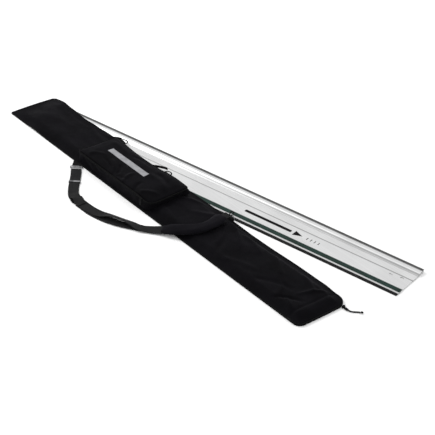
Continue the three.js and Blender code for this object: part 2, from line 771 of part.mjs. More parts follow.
/** The snap hook: an eye for the webbing, and a bowed body whose gate closes it round the ring. */
function snapHook() {
  const { x, eyeY, loopY, z } = HOOK;
  const thickness = 3.6;
  const half = thickness / 2;
  const eyeOutline = roundedRectangle(x - 17, eyeY - 1.5, x + 17, eyeY + 7, 3.2, 3);
  const eye = wall(eyeOutline, -2.6, 0, () => z - half, () => z + half, true);
  // The bow is drawn in the YZ plane, seen from +X, then stood up.
  const centre = [loopY, z];
  const outer = arc(centre, 10.6, 205, 500, 14);
  const inner = arc(centre, 7.0, 500, 205, 14);
  const bow = prism([...outer, ...inner], x - half, thickness);
  const gateArc = [...arc(centre, 9.4, 149, 198, 4), ...arc(centre, 7.9, 198, 149, 4)];
  const gate = prism(gateArc, x - 1.4, 2.8);
  const stemEnd = loopY - 10.2;
  const stem = block([x - 2.2, eyeY + 7 + GAP, z - 6.5], [x + 2.2, stemEnd - 1.2, z - 1.6]);
  return {
    eye: piece('snap_hook_eye', eye, 'metal'),
    stem: piece('snap_hook_stem', stem, 'metal'),
    bow: piece('snap_hook_bow', bow, 'metal'),
    gate: piece('snap_hook_gate', gate, 'metal'),
  };
}

// ---- The whole arrangement ----------------------------------------------------------------------

function carryBag() {
  const bag = new THREE.Group();
  const zip = endZip();
  bag.add(...bottomPanels(), ...topSkin(), ...bindings());
  bag.add(zip.tape, ...zip.stops, endFlap(), zip.binding);
  bag.add(mainZipSlider(), pullTab(), ...pullCord());
  bag.add(
    pocketGusset(),
    pocketZipTape(),
    pocketLid(),
    reflectiveBar(),
  );
  const slider = pocketSlider();
  bag.add(slider.slider, slider.puller);
  for (const { tab, ring } of ringStations()) bag.add(tab, ring);
  const hook = snapHook();
  bag.add(anchorRing(), strapBuckle(), ...strapPieces());
  bag.add(hook.eye, hook.stem, hook.bow, hook.gate);
  return bag;
}

const FREE_CORD = new Set(['pull_cord', 'pull_cord_knot']);

/** The box of everything but the free cord. */
function measure(group) {
  group.updateMatrixWorld(true);
  const box = new THREE.Box3();
  group.traverse((node) => {
    if (node.isMesh && !FREE_CORD.has(node.name)) box.expandByObject(node, true);
  });
  return box;
}

const assembly = new THREE.Group();
assembly.add(guideRail(), carryBag());
const centre = measure(assembly).getCenter(new THREE.Vector3());
assembly.position.set(-centre.x, -centre.y, 0);

export default assembly;
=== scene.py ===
"""A guide rail for a plunge saw and its padded nylon carry bag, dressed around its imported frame.

Each sub-assembly is a class that holds its sizes and builds its pieces. Lengths are metres in the
row frame. The bag's own frame, used for most sizes, has X along the bag with 0 at its zipped end,
Y across it with 0 at its near edge, and Z up from the floor.
"""

from __future__ import annotations

import json
import logging
import math
from dataclasses import dataclass, field
from enum import Enum
from typing import Callable, Iterable, Sequence

import bmesh
import bpy
from mathutils import Matrix, Vector, noise

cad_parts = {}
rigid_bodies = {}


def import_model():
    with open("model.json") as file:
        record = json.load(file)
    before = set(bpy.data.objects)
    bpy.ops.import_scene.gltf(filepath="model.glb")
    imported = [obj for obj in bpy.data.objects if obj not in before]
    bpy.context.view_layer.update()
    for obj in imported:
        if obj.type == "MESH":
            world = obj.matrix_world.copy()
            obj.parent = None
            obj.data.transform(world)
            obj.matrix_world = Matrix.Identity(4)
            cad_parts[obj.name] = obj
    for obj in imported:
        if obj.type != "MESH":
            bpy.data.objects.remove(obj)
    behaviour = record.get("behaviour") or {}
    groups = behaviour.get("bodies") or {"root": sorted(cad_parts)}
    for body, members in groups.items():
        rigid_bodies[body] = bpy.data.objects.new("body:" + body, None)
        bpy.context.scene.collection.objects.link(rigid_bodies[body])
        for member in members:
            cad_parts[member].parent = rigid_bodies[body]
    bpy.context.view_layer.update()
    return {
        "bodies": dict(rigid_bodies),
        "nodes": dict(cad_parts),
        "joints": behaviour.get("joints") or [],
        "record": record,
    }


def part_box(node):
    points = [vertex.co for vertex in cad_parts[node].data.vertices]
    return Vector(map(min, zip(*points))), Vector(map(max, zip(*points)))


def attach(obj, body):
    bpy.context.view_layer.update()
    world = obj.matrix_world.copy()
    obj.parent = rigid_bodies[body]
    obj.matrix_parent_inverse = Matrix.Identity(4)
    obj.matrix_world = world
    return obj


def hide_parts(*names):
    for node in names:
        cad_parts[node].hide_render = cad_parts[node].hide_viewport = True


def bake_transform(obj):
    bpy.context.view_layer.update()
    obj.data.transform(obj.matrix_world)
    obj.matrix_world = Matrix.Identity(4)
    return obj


log = logging.getLogger("carry_bag")

MM = 0.001
Point = Sequence[float]
Route = tuple[tuple[float, ...], ...]


class Slot(Enum):
    """The record's material slots."""

    ALUMINIUM = "aluminium"
    RUBBER = "rubber"
    GLIDE = "glide_plastic"
    NYLON = "nylon"
    BINDING = "binding"
    ZIP = "zip"
    WEBBING = "webbing"
    PAD = "pad"
    METAL = "metal"
    PLASTIC = "plastic"
    CORD = "cord"
    PRINT = "reflective_print"


class Shade(Enum):
    """Other shades of a slot's finish."""

    EDGE_TRIM = "edge_trim"
    BLACKENED = "blackened"


# ---- Finishes -------------------------------------------------------------------------------


COLOUR_A, COLOUR_B, COLOUR_RESULT = 6, 7, 2  # The Mix node's colour sockets.


class NodeTree:
    """A small helper that adds and joins shader nodes in one material."""

    def __init__(self, name: str) -> None:
        """Starts a material with a Principled shader.

        Args:
            name: the material's name.
        """
        self.material = bpy.data.materials.new(name)
        self.material.use_nodes = True
        self.tree = self.material.node_tree
        self.shader = self.tree.nodes["Principled BSDF"]

    def add(self, kind: str, **settings: object) -> bpy.types.Node:
        """Adds a node; settings are its properties.

        Args:
            kind: the node's type name without its ShaderNode prefix.
            settings: property names and values.

        Returns:
            The new node.
        """
        node = self.tree.nodes.new("ShaderNode" + kind)
        for key, value in settings.items():
            setattr(node, key, value)
        return node

    def join(self, source: bpy.types.NodeSocket, target: bpy.types.NodeSocket) -> None:
        """Joins two sockets."""
        self.tree.links.new(source, target)

    def coordinates(self, kind: str = "Object", scale: Point = (1.0, 1.0, 1.0), turn: float = 0.0
                    ) -> bpy.types.NodeSocket:
        """Object or UV coordinates through a Mapping node.

        Args:
            kind: "Object" or "UV".
            scale: the mapping's scale.
            turn: the mapping's rotation about Z, in radians.

        Returns:
            The mapped vector socket.
        """
        source = self.add("TexCoord")
        mapping = self.add("Mapping")
        mapping.inputs["Rotation"].default_value = (0.0, 0.0, turn)
        mapping.inputs["Scale"].default_value = scale
        self.join(source.outputs[kind], mapping.inputs["Vector"])
        return mapping.outputs["Vector"]

    def noise(self, vector: bpy.types.NodeSocket, scale: float, detail: float = 3.0
              ) -> bpy.types.NodeSocket:
        """A noise texture's value.

        Args:
            vector: where it is read.
            scale: its scale.
            detail: its detail.

        Returns:
            The value socket.
        """
        texture = self.add("TexNoise")
        texture.inputs["Scale"].default_value = scale
        texture.inputs["Detail"].default_value = detail
        self.join(vector, texture.inputs["Vector"])
        return texture.outputs["Fac"]

    def wave(self, vector: bpy.types.NodeSocket, pitch: float, axis: str) -> bpy.types.NodeSocket:
        """A sine wave's value along an axis.

        Args:
            vector: where it is read.
            pitch: the yarn's or the rib's pitch, in metres.
            axis: "X", "Y" or "Z".

        Returns:
            The value socket.
        """
        texture = self.add("TexWave", wave_type="BANDS", bands_direction=axis, wave_profile="SIN")
        texture.inputs["Scale"].default_value = 0.5 / pitch / math.pi
        self.join(vector, texture.inputs["Vector"])
        return texture.outputs["Fac"]

    def math(self, operation: str, first: object, second: object) -> bpy.types.NodeSocket:
        """A Math node of two values or sockets.

        Args:
            operation: the node's operation.
            first: a number or a socket.
            second: a number or a socket.

        Returns:
            The result socket.
        """
        node = self.add("Math", operation=operation)
        for socket, value in zip(node.inputs, (first, second)):
            if isinstance(value, bpy.types.NodeSocket):
                self.join(value, socket)
            else:
                socket.default_value = value
        return node.outputs[0]

    def weighted(self, first: bpy.types.NodeSocket, share: float, second: bpy.types.NodeSocket
                 ) -> bpy.types.NodeSocket:
        """Two values mixed.

        Args:
            first: the first value.
            share: the first value's share.
            second: the second value, which takes the rest.

        Returns:
            The mixed value.
        """
        rest = self.math("MULTIPLY", second, 1.0 - share)
        return self.math("ADD", self.math("MULTIPLY", first, share), rest)

    def ramp(self, value: bpy.types.NodeSocket, low: Point, high: Point, start: float, end: float
             ) -> bpy.types.NodeSocket:
        """A colour ramp between two colours.

        Args:
            value: the driving value.
            low: the colour at the start.
            high: the colour at the end.
            start: where the ramp starts.
            end: where it ends.

        Returns:
            The colour socket.
        """
        node = self.add("ValToRGB")
        first, last = node.color_ramp.elements
        first.position, last.position = start, end
        first.color, last.color = (*low, 1.0), (*high, 1.0)
        self.join(value, node.inputs["Fac"])
        return node.outputs["Color"]

    def shaded(self, colour: bpy.types.NodeSocket, shade: bpy.types.NodeSocket) -> bpy.types.NodeSocket:
        """A colour multiplied by a shade.

        Args:
            colour: the colour.
            shade: the shade, white where the colour stays.

        Returns:
            The darkened colour.
        """
        node = self.add("Mix", data_type="RGBA", blend_type="MULTIPLY")
        node.inputs["Factor"].default_value = 1.0
        self.join(colour, node.inputs[COLOUR_A])
        self.join(shade, node.inputs[COLOUR_B])
        return node.outputs[COLOUR_RESULT]

    def preset(self, **values: object) -> None:
        """Sets shader inputs; an underscore in a name stands for a space."""
        for name, value in values.items():
            self.shader.inputs[name.replace("_", " ")].default_value = value

    def colour(self, socket: bpy.types.NodeSocket) -> None:
        """Sends a colour to the shader."""
        self.join(socket, self.shader.inputs["Base Color"])

    def roughness(self, value: bpy.types.NodeSocket, low: float, high: float) -> None:
        """Sends a roughness between two limits to the shader.

        Args:
            value: the driving value, from 0 to 1.
            low: the lowest roughness.
            high: the highest roughness.
        """
        node = self.add("MapRange")
        node.inputs["To Min"].default_value = low
        node.inputs["To Max"].default_value = high
        self.join(value, node.inputs["Value"])
        self.join(node.outputs["Result"], self.shader.inputs["Roughness"])

    def bump(self, height: bpy.types.NodeSocket, distance: float, strength: float) -> None:
        """Sends a bump to the shader.

        Args:
            height: the height value.
            distance: the height of the relief, in metres.
            strength: its strength.
        """
        node = self.add("Bump")
        node.inputs["Strength"].default_value = strength
        node.inputs["Distance"].default_value = distance
        self.join(height, node.inputs["Height"])
        self.join(node.outputs["Normal"], self.shader.inputs["Normal"])


@dataclass(frozen=True)
class WovenCloth:
    """A plain weave of coated yarn, its faint cloudy tone partly dust and partly painted sheen."""

    name: str
    dark: tuple[float, float, float]
    light: tuple[float, float, float]
    pitch: float = 1.1 * MM
    sheen: float = 0.03
    specular: float = 0.03
    relief: float = 0.16 * MM

    def material(self) -> bpy.types.Material:
        """The material."""
        tree = NodeTree(self.name)
        place = tree.coordinates()
        weave = tree.math("MULTIPLY", tree.wave(place, self.pitch, "X"), tree.wave(place, self.pitch, "Y"))
        cloud = tree.noise(place, 9.0, 6.0)
        crease = tree.noise(place, 60.0, 5.0)
        # The cloud noise in the colour is partly dust and partly painted sheen.
        tree.colour(tree.ramp(tree.weighted(cloud, 0.75, weave), self.dark, self.light, 0.3, 0.72))
        tree.roughness(crease, 0.62, 0.82)
        tree.bump(tree.math("ADD", weave, tree.math("MULTIPLY", crease, 2.0)), self.relief, 0.55)
        tree.preset(Sheen_Weight=self.sheen, Sheen_Roughness=0.45, Sheen_Tint=(0.72, 0.70, 0.82, 1.0),
                    Specular_IOR_Level=self.specular)
        return tree.material


@dataclass(frozen=True)
class RibbedTape:
    """Woven tape whose ribs cross it: binding, webbing and zip tape. It reads the piece's UV map."""

    name: str
    dark: tuple[float, float, float]
    light: tuple[float, float, float]
    rib: float
    relief: float = 0.2 * MM
    twill: bool = False
    sheen: float = 0.03
    specular: float = 0.04
    twill_turn: float = math.radians(38.0)

    def material(self) -> bpy.types.Material:
        """The material."""
        tree = NodeTree(self.name)
        turn = self.twill_turn if self.twill else 0.0
        place = tree.coordinates("UV", turn=turn)
        ribs = tree.wave(place, self.rib, "Y")
        threads = tree.wave(place, self.rib / 1.7, "X")
        wear = tree.noise(tree.coordinates(), 26.0, 5.0)
        pattern = tree.math("MULTIPLY", ribs, tree.math("ADD", tree.math("MULTIPLY", threads, 0.4), 0.6))
        tree.colour(tree.ramp(tree.weighted(pattern, 0.6, wear), self.dark, self.light, 0.2, 0.85))
        tree.roughness(wear, 0.6, 0.85)
        tree.bump(pattern, self.relief, 0.7)
        tree.preset(Sheen_Weight=self.sheen, Specular_IOR_Level=self.specular)
        return tree.material


@dataclass(frozen=True)
class ExtrudedAluminium:
    """Natural anodised aluminium with fine die lines along the rail, and painted shade across it: bands
    darkened where each groove and the guide rib's slope lie in shade.

    A band is its distance from the rail's near edge, its half width and the share of light that it
    keeps.
    """

    name: str
    turn: float
    edge: float
    painted_groove_shade: tuple[tuple[float, float, float], ...]
    dark: tuple[float, float, float] = (0.62, 0.622, 0.624)
    light: tuple[float, float, float] = (0.82, 0.822, 0.824)
    metallic: float = 0.85
    span: float = 0.2

    def material(self) -> bpy.types.Material:
        """The material."""
        tree = NodeTree(self.name)
        along = tree.coordinates("Object", (0.6, 260.0, 60.0), self.turn)
        lines = tree.noise(along, 3.0, 4.0)
        mixed = tree.weighted(lines, 0.6, tree.noise(tree.coordinates(), 5.0, 3.0))
        silver = tree.ramp(mixed, self.dark, self.light, 0.3, 0.7)
        # Painted shade: the silver is darkened in bands where each groove and the guide rib's slope lie in
        # shade.
        tree.colour(tree.shaded(silver, self.across(tree)))
        tree.roughness(mixed, 0.34, 0.5)
        tree.bump(lines, 0.03 * MM, 0.35)
        tree.preset(Metallic=self.metallic)
        return tree.material

    def across(self, tree: NodeTree) -> bpy.types.NodeSocket:
        """The painted groove shade: a ramp that darkens bands by the distance across the rail."""
        place = tree.add("TexCoord")
        turned = tree.add("Mapping")
        turned.inputs["Rotation"].default_value = (0.0, 0.0, self.turn)
        turned.inputs["Location"].default_value = (0.0, self.edge, 0.0)
        tree.join(place.outputs["Object"], turned.inputs["Vector"])
        parts = tree.add("SeparateXYZ")
        tree.join(turned.outputs["Vector"], parts.inputs["Vector"])
        share = tree.math("DIVIDE", parts.outputs["Y"], self.span)
        node = tree.add("ValToRGB")
        elements = node.color_ramp.elements
        elements[0].color = elements[1].color = (1.0, 1.0, 1.0, 1.0)
        for at, half, light in self.painted_groove_shade:
            soft = 0.25 * half
            stops = ((-half - soft, 1.0), (-half, light), (half, light), (half + soft, 1.0))
            for offset, value in stops:
                element = elements.new((at + offset) / self.span)
                element.color = (value, value, value, 1.0)
        tree.join(share, node.inputs["Fac"])
        return node.outputs["Color"]


@dataclass(frozen=True)
class Moulded:
    """Moulded rubber or plastic with a fine spark-eroded grain."""

    name: str
    dark: tuple[float, float, float]
    light: tuple[float, float, float]
    rough: tuple[float, float] = (0.45, 0.62)
    grain: float = 900.0
    ribs: float = 0.0
    turn: float = 0.0
    specular: float = 0.2

    def material(self) -> bpy.types.Material:
        """The material."""
        tree = NodeTree(self.name)
        place = tree.coordinates(turn=self.turn)
        grain = tree.noise(place, self.grain, 2.0)
        wear = tree.noise(place, 22.0, 5.0)
        tree.colour(tree.ramp(wear, self.dark, self.light, 0.35, 0.7))
        tree.roughness(wear, *self.rough)
        height = grain
        if self.ribs:
            ribs = tree.wave(place, self.ribs, "Y")
            height = tree.math("ADD", grain, tree.math("MULTIPLY", ribs, 3.0))
        tree.bump(height, 0.08 * MM, 0.5)
        tree.preset(Specular_IOR_Level=self.specular)
        return tree.material


@dataclass(frozen=True)
class NickelPlate:
    """Plated metal with handling marks."""

    name: str
    dark: tuple[float, float, float] = (0.14, 0.14, 0.145)
    light: tuple[float, float, float] = (0.36, 0.36, 0.37)

    def material(self) -> bpy.types.Material:
        """The material."""
        tree = NodeTree(self.name)
        place = tree.coordinates()
        marks = tree.noise(place, 420.0, 5.0)
        cloud = tree.noise(place, 60.0, 3.0)
        tree.colour(tree.ramp(cloud, self.dark, self.light, 0.35, 0.65))
        tree.roughness(marks, 0.12, 0.32)
        tree.bump(marks, 0.02 * MM, 0.3)
        tree.preset(Metallic=1.0)
        return tree.material


@dataclass(frozen=True)
class ReflectivePrint:
    """Grey ink with fine glass beads, printed on cloth."""

    name: str
    dark: tuple[float, float, float] = (0.15, 0.15, 0.16)
    light: tuple[float, float, float] = (0.33, 0.33, 0.35)

    def material(self) -> bpy.types.Material:
        """The material."""
        tree = NodeTree(self.name)
        place = tree.coordinates()
        beads = tree.noise(place, 1400.0, 1.0)
        wear = tree.noise(place, 40.0, 5.0)
        tree.colour(tree.ramp(tree.weighted(beads, 0.4, wear), self.dark, self.light, 0.3, 0.7))
        tree.roughness(wear, 0.35, 0.55)
        tree.bump(beads, 0.05 * MM, 0.5)
        return tree.material


@dataclass(frozen=True)
class StudioFloor:
    """A plain pale floor."""

    name: str = "studio_floor"

    def material(self) -> bpy.types.Material:
        """The material."""
        tree = NodeTree(self.name)
        cloud = tree.noise(tree.coordinates(), 2.0, 2.0)
        tree.colour(tree.ramp(cloud, (0.94, 0.94, 0.94), (0.96, 0.96, 0.96), 0.3, 0.7))
        tree.roughness(cloud, 0.85, 0.95)
        return tree.material


RAIL_TURN = math.radians(13.1)
RAIL_EDGE = 9.309 * MM
# Painted shade across the rail, where each groove and the guide rib's slope lie in shade: a band's place,
# half width and the share of light it keeps.
RAIL_PAINTED_GROOVE_SHADE = ((111.0 * MM, 2.4 * MM, 0.45), (16.5 * MM, 0.8 * MM, 0.75), (43.5 * MM, 0.9 * MM, 0.75),
           (146.5 * MM, 1.2 * MM, 0.55), (152.5 * MM, 3.2 * MM, 0.5), (176.0 * MM, 2.6 * MM, 0.35))

FINISHES = {
    Slot.ALUMINIUM: ExtrudedAluminium("rail_aluminium", -RAIL_TURN, RAIL_EDGE, RAIL_PAINTED_GROOVE_SHADE),
    Slot.RUBBER: Moulded("black_rubber", (0.003, 0.003, 0.003), (0.012, 0.012, 0.0125), (0.5, 0.7),
                         specular=0.12),
    Slot.GLIDE: Moulded("green_glide_strip", (0.004, 0.017, 0.012), (0.010, 0.034, 0.027),
                        (0.35, 0.5), ribs=2.2 * MM, turn=-RAIL_TURN, specular=0.12),
    Slot.NYLON: WovenCloth("bag_cloth", (0.0008, 0.0007, 0.0011), (0.0046, 0.0042, 0.0058)),
    Slot.BINDING: RibbedTape("edge_binding", (0.0015, 0.0015, 0.0016), (0.007, 0.007, 0.0075), 1.6 * MM),
    Slot.ZIP: RibbedTape("zip_tape", (0.002, 0.002, 0.002), (0.009, 0.009, 0.01), 1.2 * MM),
    Slot.WEBBING: RibbedTape("strap_webbing", (0.004, 0.004, 0.0042), (0.028, 0.028, 0.029),
                             1.9 * MM, 0.3 * MM, twill=True),
    Slot.PAD: WovenCloth("pad_cloth", (0.0022, 0.0020, 0.0030), (0.0072, 0.0066, 0.0088), sheen=0.04),
    Slot.METAL: NickelPlate("nickel_plate"),
    Shade.BLACKENED: NickelPlate("blackened_plate", (0.01, 0.01, 0.01), (0.05, 0.05, 0.05)),
    Shade.EDGE_TRIM: Moulded("grey_trim", (0.06, 0.06, 0.06), (0.10, 0.10, 0.10), (0.5, 0.7),
                             specular=0.12),
    Slot.PLASTIC: Moulded("black_acetal", (0.0015, 0.0015, 0.0015), (0.006, 0.006, 0.0065),
                          (0.5, 0.65), specular=0.05),
    Slot.CORD: RibbedTape("braided_cord", (0.002, 0.002, 0.002), (0.011, 0.011, 0.012), 1.5 * MM,
                          0.25 * MM, twill=True),
    Slot.PRINT: ReflectivePrint("reflective_ink"),
}


class Wardrobe:
    """Makes each finish once and puts it on pieces."""

    def __init__(self) -> None:
        """Makes an empty store."""
        self.made: dict[Slot | Shade, bpy.types.Material] = {}

    def get(self, key: Slot | Shade) -> bpy.types.Material:
        """The material of a slot or of a shade."""
        if key not in self.made:
            self.made[key] = FINISHES[key].material()
        return self.made[key]

    def dress(self, obj: bpy.types.Object, slot: Slot, shade: Shade | None = None) -> bpy.types.Object:
        """Gives a piece its slot's material, or its shade's.

        Args:
            obj: the piece.
            slot: its finish.
            shade: another shade of the finish, or None.

        Returns:
            The piece.
        """
        obj.data.materials.clear()
        obj.data.materials.append(self.get(shade or slot))
        return obj


# ---- Mesh helpers ---------------------------------------------------------------------------


def smooth_step(t: float) -> float:
    """A soft step from 0 to 1."""
    t = min(max(t, 0.0), 1.0)
    return t * t * (3.0 - 2.0 * t)


def mesh_object(name: str, points: Iterable[Point], faces: Iterable[Sequence[int]],
                texture: Sequence[Point] | None = None, smooth: bool = True) -> bpy.types.Object:
    """A mesh object at the origin.

    Args:
        name: the piece's name.
        points: its vertices, in the row frame, in metres.
        faces: its faces.
        texture: a UV pair for each vertex, or None.
        smooth: whether its faces are shaded smooth.

    Returns:
        The object, linked to the scene.
    """
    mesh = bpy.data.meshes.new(name)
    mesh.from_pydata([tuple(p) for p in points], [], [tuple(f) for f in faces])
    mesh.validate()
    if texture is not None:
        layer = mesh.uv_layers.new(name="UVMap")
        for loop in mesh.loops:
            layer.data[loop.index].uv = texture[loop.vertex_index]
    mesh.polygons.foreach_set("use_smooth", [smooth] * len(mesh.polygons))
    mesh.update()
    obj = bpy.data.objects.new(name, mesh)
    bpy.context.scene.collection.objects.link(obj)
    return obj


def face_outwards(obj: bpy.types.Object) -> bpy.types.Object:
    """Merges a closed mesh's doubles and points its faces outwards."""
    work = bmesh.new()
    work.from_mesh(obj.data)
    bmesh.ops.remove_doubles(work, verts=work.verts, dist=1e-6)
    bmesh.ops.recalc_face_normals(work, faces=work.faces)
    work.to_mesh(obj.data)
    work.free()
    return obj


def apply_modifiers(obj: bpy.types.Object) -> bpy.types.Object:
    """Turns an object with modifiers into a plain mesh."""
    graph = bpy.context.evaluated_depsgraph_get()
    mesh = bpy.data.meshes.new_from_object(obj.evaluated_get(graph), depsgraph=graph)
    obj.modifiers.clear()
    obj.data = mesh
    return obj


def soften(obj: bpy.types.Object, width: float, segments: int = 2, angle: float = 35.0
           ) -> bpy.types.Object:
    """Rounds a piece's edges.

    Args:
        obj: the piece.
        width: the bevel's width, in metres.
        segments: its segments.
        angle: edges sharper than this are rounded, in degrees.

    Returns:
        The piece, as a plain mesh.
    """
    bevel = obj.modifiers.new("Bevel", "BEVEL")
    bevel.width = width
    bevel.segments = segments
    bevel.limit_method = "ANGLE"
    bevel.angle_limit = math.radians(angle)
    return apply_modifiers(obj)


def curve_through(points: Sequence[Point], steps: int) -> list[Vector]:
    """A smooth path through points.

    Args:
        points: the points, in order; extra columns are carried along.
        steps: samples for each span.

    Returns:
        The sampled points, each with as many values as the input's.
    """
    known = [Vector(p) for p in points]
    known = [2 * known[0] - known[1], *known, 2 * known[-1] - known[-2]]
    path = []
    for a, b, c, d in zip(known, known[1:], known[2:], known[3:]):
        for k in range(steps):
            t = k / steps
            path.append(0.5 * (2 * b + (c - a) * t + (2 * a - 5 * b + 4 * c - d) * t**2
                               + (3 * b - a - 3 * c + d) * t**3))
    return [*path, known[-2]]


def bar_section(width: float, height: float, count: int, power: float = 3.0) -> list[tuple[float, float]]:
    """A rounded bar's section.

    Args:
        width: its full width.
        height: its full height.
        count: its points.
        power: 2 is an ellipse and higher is squarer.

    Returns:
        Points anticlockwise.
    """
    def part(value: float) -> float:
        """A sine or cosine drawn out towards the section's corners."""
        return math.copysign(abs(value) ** (2.0 / power), value)

    turns = [2 * math.pi * k / count for k in range(count)]
    return [(width / 2 * part(math.cos(a)), height / 2 * part(math.sin(a))) for a in turns]


def sweep(name: str, path: Sequence[Vector], sides: Sequence[Vector], section: Callable[[int], list],
          closed: bool = False) -> bpy.types.Object:
    """A section swept along a path, with UVs in metres: U round it and V along it.

    Args:
        name: the piece's name.
        path: the path's points.
        sides: the section's first axis at each point.
        section: gives the section at a point's index, as pairs along its side and its up.
        closed: whether the path closes on itself.

    Returns:
        The piece.
    """
    count = len(path)
    points, texture = [], []
    travelled = 0.0
    for i, at in enumerate(path):
        before = path[(i - 1) % count] if closed or i else at
        after = path[(i + 1) % count] if closed or i < count - 1 else at
        along = (after - before).normalized()
        side = (sides[i] - along * sides[i].dot(along)).normalized()
        up = along.cross(side)
        travelled += (at - path[i - 1]).length if i else 0.0
        ring = section(i)
        round_it = 0.0
        for k, (a, b) in enumerate(ring):
            points.append(at + side * a + up * b)
            texture.append((round_it, travelled))
            following = ring[(k + 1) % len(ring)]
            round_it += math.hypot(following[0] - a, following[1] - b)
    n = len(section(0))
    faces = []
    for i in range(count if closed else count - 1):
        a, b = i * n, ((i + 1) % count) * n
        for k in range(n):
            m = (k + 1) % n
            faces.append((a + k, a + m, b + m, b + k))
    if not closed:
        faces.append(tuple(range(n))[::-1])
        faces.append(tuple(range((count - 1) * n, count * n)))
    return face_outwards(mesh_object(name, points, faces, texture))


def flat_sides(path: Sequence[Vector], closed: bool = False) -> list[Vector]:
    """The level direction to the left of a path at each of its points."""
    count = len(path)
    sides = []
    for i in range(count):
        before = path[(i - 1) % count] if closed or i else path[i]
        after = path[(i + 1) % count] if closed or i < count - 1 else path[i]
        along = after - before
        sides.append(Vector((-along.y, along.x, 0.0)).normalized())
    return sides


def cloth_shell(name: str, columns: Sequence[Sequence[Vector]], thickness: float) -> bpy.types.Object:
    """A closed sheet of cloth below a grid of surface points.

    Args:
        name: the piece's name.
        columns: the surface's points, column by column.
        thickness: the cloth's thickness.

    Returns:
        The piece.
    """
    rows = len(columns[0])
    count = len(columns)
    upper = [p for column in columns for p in column]
    points = upper + [p - Vector((0.0, 0.0, thickness)) for p in upper]
    below = len(upper)
    faces = []
    for i in range(count - 1):
        for j in range(rows - 1):
            a, b = i * rows + j, (i + 1) * rows + j
            faces.append((a, b, b + 1, a + 1))
            faces.append((a + below, a + 1 + below, b + 1 + below, b + below))
    rim = [i * rows for i in range(count)] + [(count - 1) * rows + j for j in range(1, rows)]
    rim += [i * rows + rows - 1 for i in range(count - 2, -1, -1)] + list(range(rows - 2, 0, -1))
    for a, b in zip(rim, rim[1:] + rim[:1]):
        faces.append((b, a, a + below, b + below))
    texture = [(p.x, p.y) for p in points]
    return face_outwards(mesh_object(name, points, faces, texture))


def soft_block(name: str, outline: Sequence[Point], low: Callable[[Vector], float],
               high: Callable[[Vector], float], crown: int = 6) -> bpy.types.Object:
    """A closed padded form over an outline, in rings drawn in towards its middle, between two heights.

    Args:
        name: the piece's name.
        outline: its plan outline, anticlockwise.
        low: its underside's height at a point.
        high: its top's height at a point.
        crown: rings between the edge and the middle.

    Returns:
        The piece.
    """
    middle = sum((Vector(p) for p in outline), Vector((0.0, 0.0))) / len(outline)
    n = len(outline)
    rings = [1.0 - (k / crown) ** 1.4 for k in range(crown)]
    points = []
    for surface in (low, high):
        for share in rings:
            for p in outline:
                at = middle + (Vector(p) - middle) * share
                points.append((at.x, at.y, surface(at)))
        points.append((middle.x, middle.y, surface(middle)))
    half = n * crown + 1
    faces = []
    for k in range(n):
        m = (k + 1) % n
        faces.append((k, m, half + m, half + k))
        for layer, flip in ((0, True), (half, False)):
            for ring in range(crown - 1):
                a = layer + ring * n
                quad = (a + k, a + m, a + n + m, a + n + k)
                faces.append(quad[::-1] if flip else quad)
            last = layer + (crown - 1) * n
            top = layer + crown * n
            cap = (last + k, last + m, top)
            faces.append(cap[::-1] if flip else cap)
    return face_outwards(mesh_object(name, points, faces, [(p[0], p[1]) for p in points]))


def rounded_outline(low: Point, high: Point, radius: float, steps: int = 6) -> list[tuple[float, float]]:
    """A rounded rectangle, anticlockwise.

    Args:
        low: its lowest corner.
        high: its highest corner.
        radius: the corners' radius.
        steps: arc steps at each corner.

    Returns:
        Its points.
    """
    centres = [(high[0] - radius, low[1] + radius), (high[0] - radius, high[1] - radius),
               (low[0] + radius, high[1] - radius), (low[0] + radius, low[1] + radius)]
    points = []
    for quarter, (cx, cy) in enumerate(centres):
        for k in range(steps + 1):
            a = math.pi / 2 * (quarter - 1 + k / steps)
            points.append((cx + radius * math.cos(a), cy + radius * math.sin(a)))
    return points


def prism(name: str, outline: Sequence[Point], levels: Point,
          place: Callable[[float, float, float], Vector]) -> bpy.types.Object:
    """A closed prism with flat faces.

    Args:
        name: the piece's name.
        outline: its plan outline.
        levels: its low and high level.
        place: takes a point of the outline and a level to the row frame.

    Returns:
        The piece.
    """
    n = len(outline)
    points = [place(x, y, z) for z in levels for x, y in outline]
    faces = [tuple(range(n))[::-1], tuple(range(n, 2 * n))]
    faces += [(k, (k + 1) % n, n + (k + 1) % n, n + k) for k in range(n)]
    return face_outwards(mesh_object(name, points, faces, smooth=False))


def spread(points: Sequence[Point], spacing: float) -> list[tuple[float, float]]:
    """Adds points to a closed outline so that none are further apart than the spacing."""
    filled = []
    for a, b in zip(points, [*points[1:], points[0]]):
        count = max(1, math.ceil(math.dist(a, b) / spacing))
        filled += [(a[0] + (b[0] - a[0]) * k / count, a[1] + (b[1] - a[1]) * k / count)
                   for k in range(count)]
    return filled


# ---- What repeats along a path ---------------------------------------------------------------


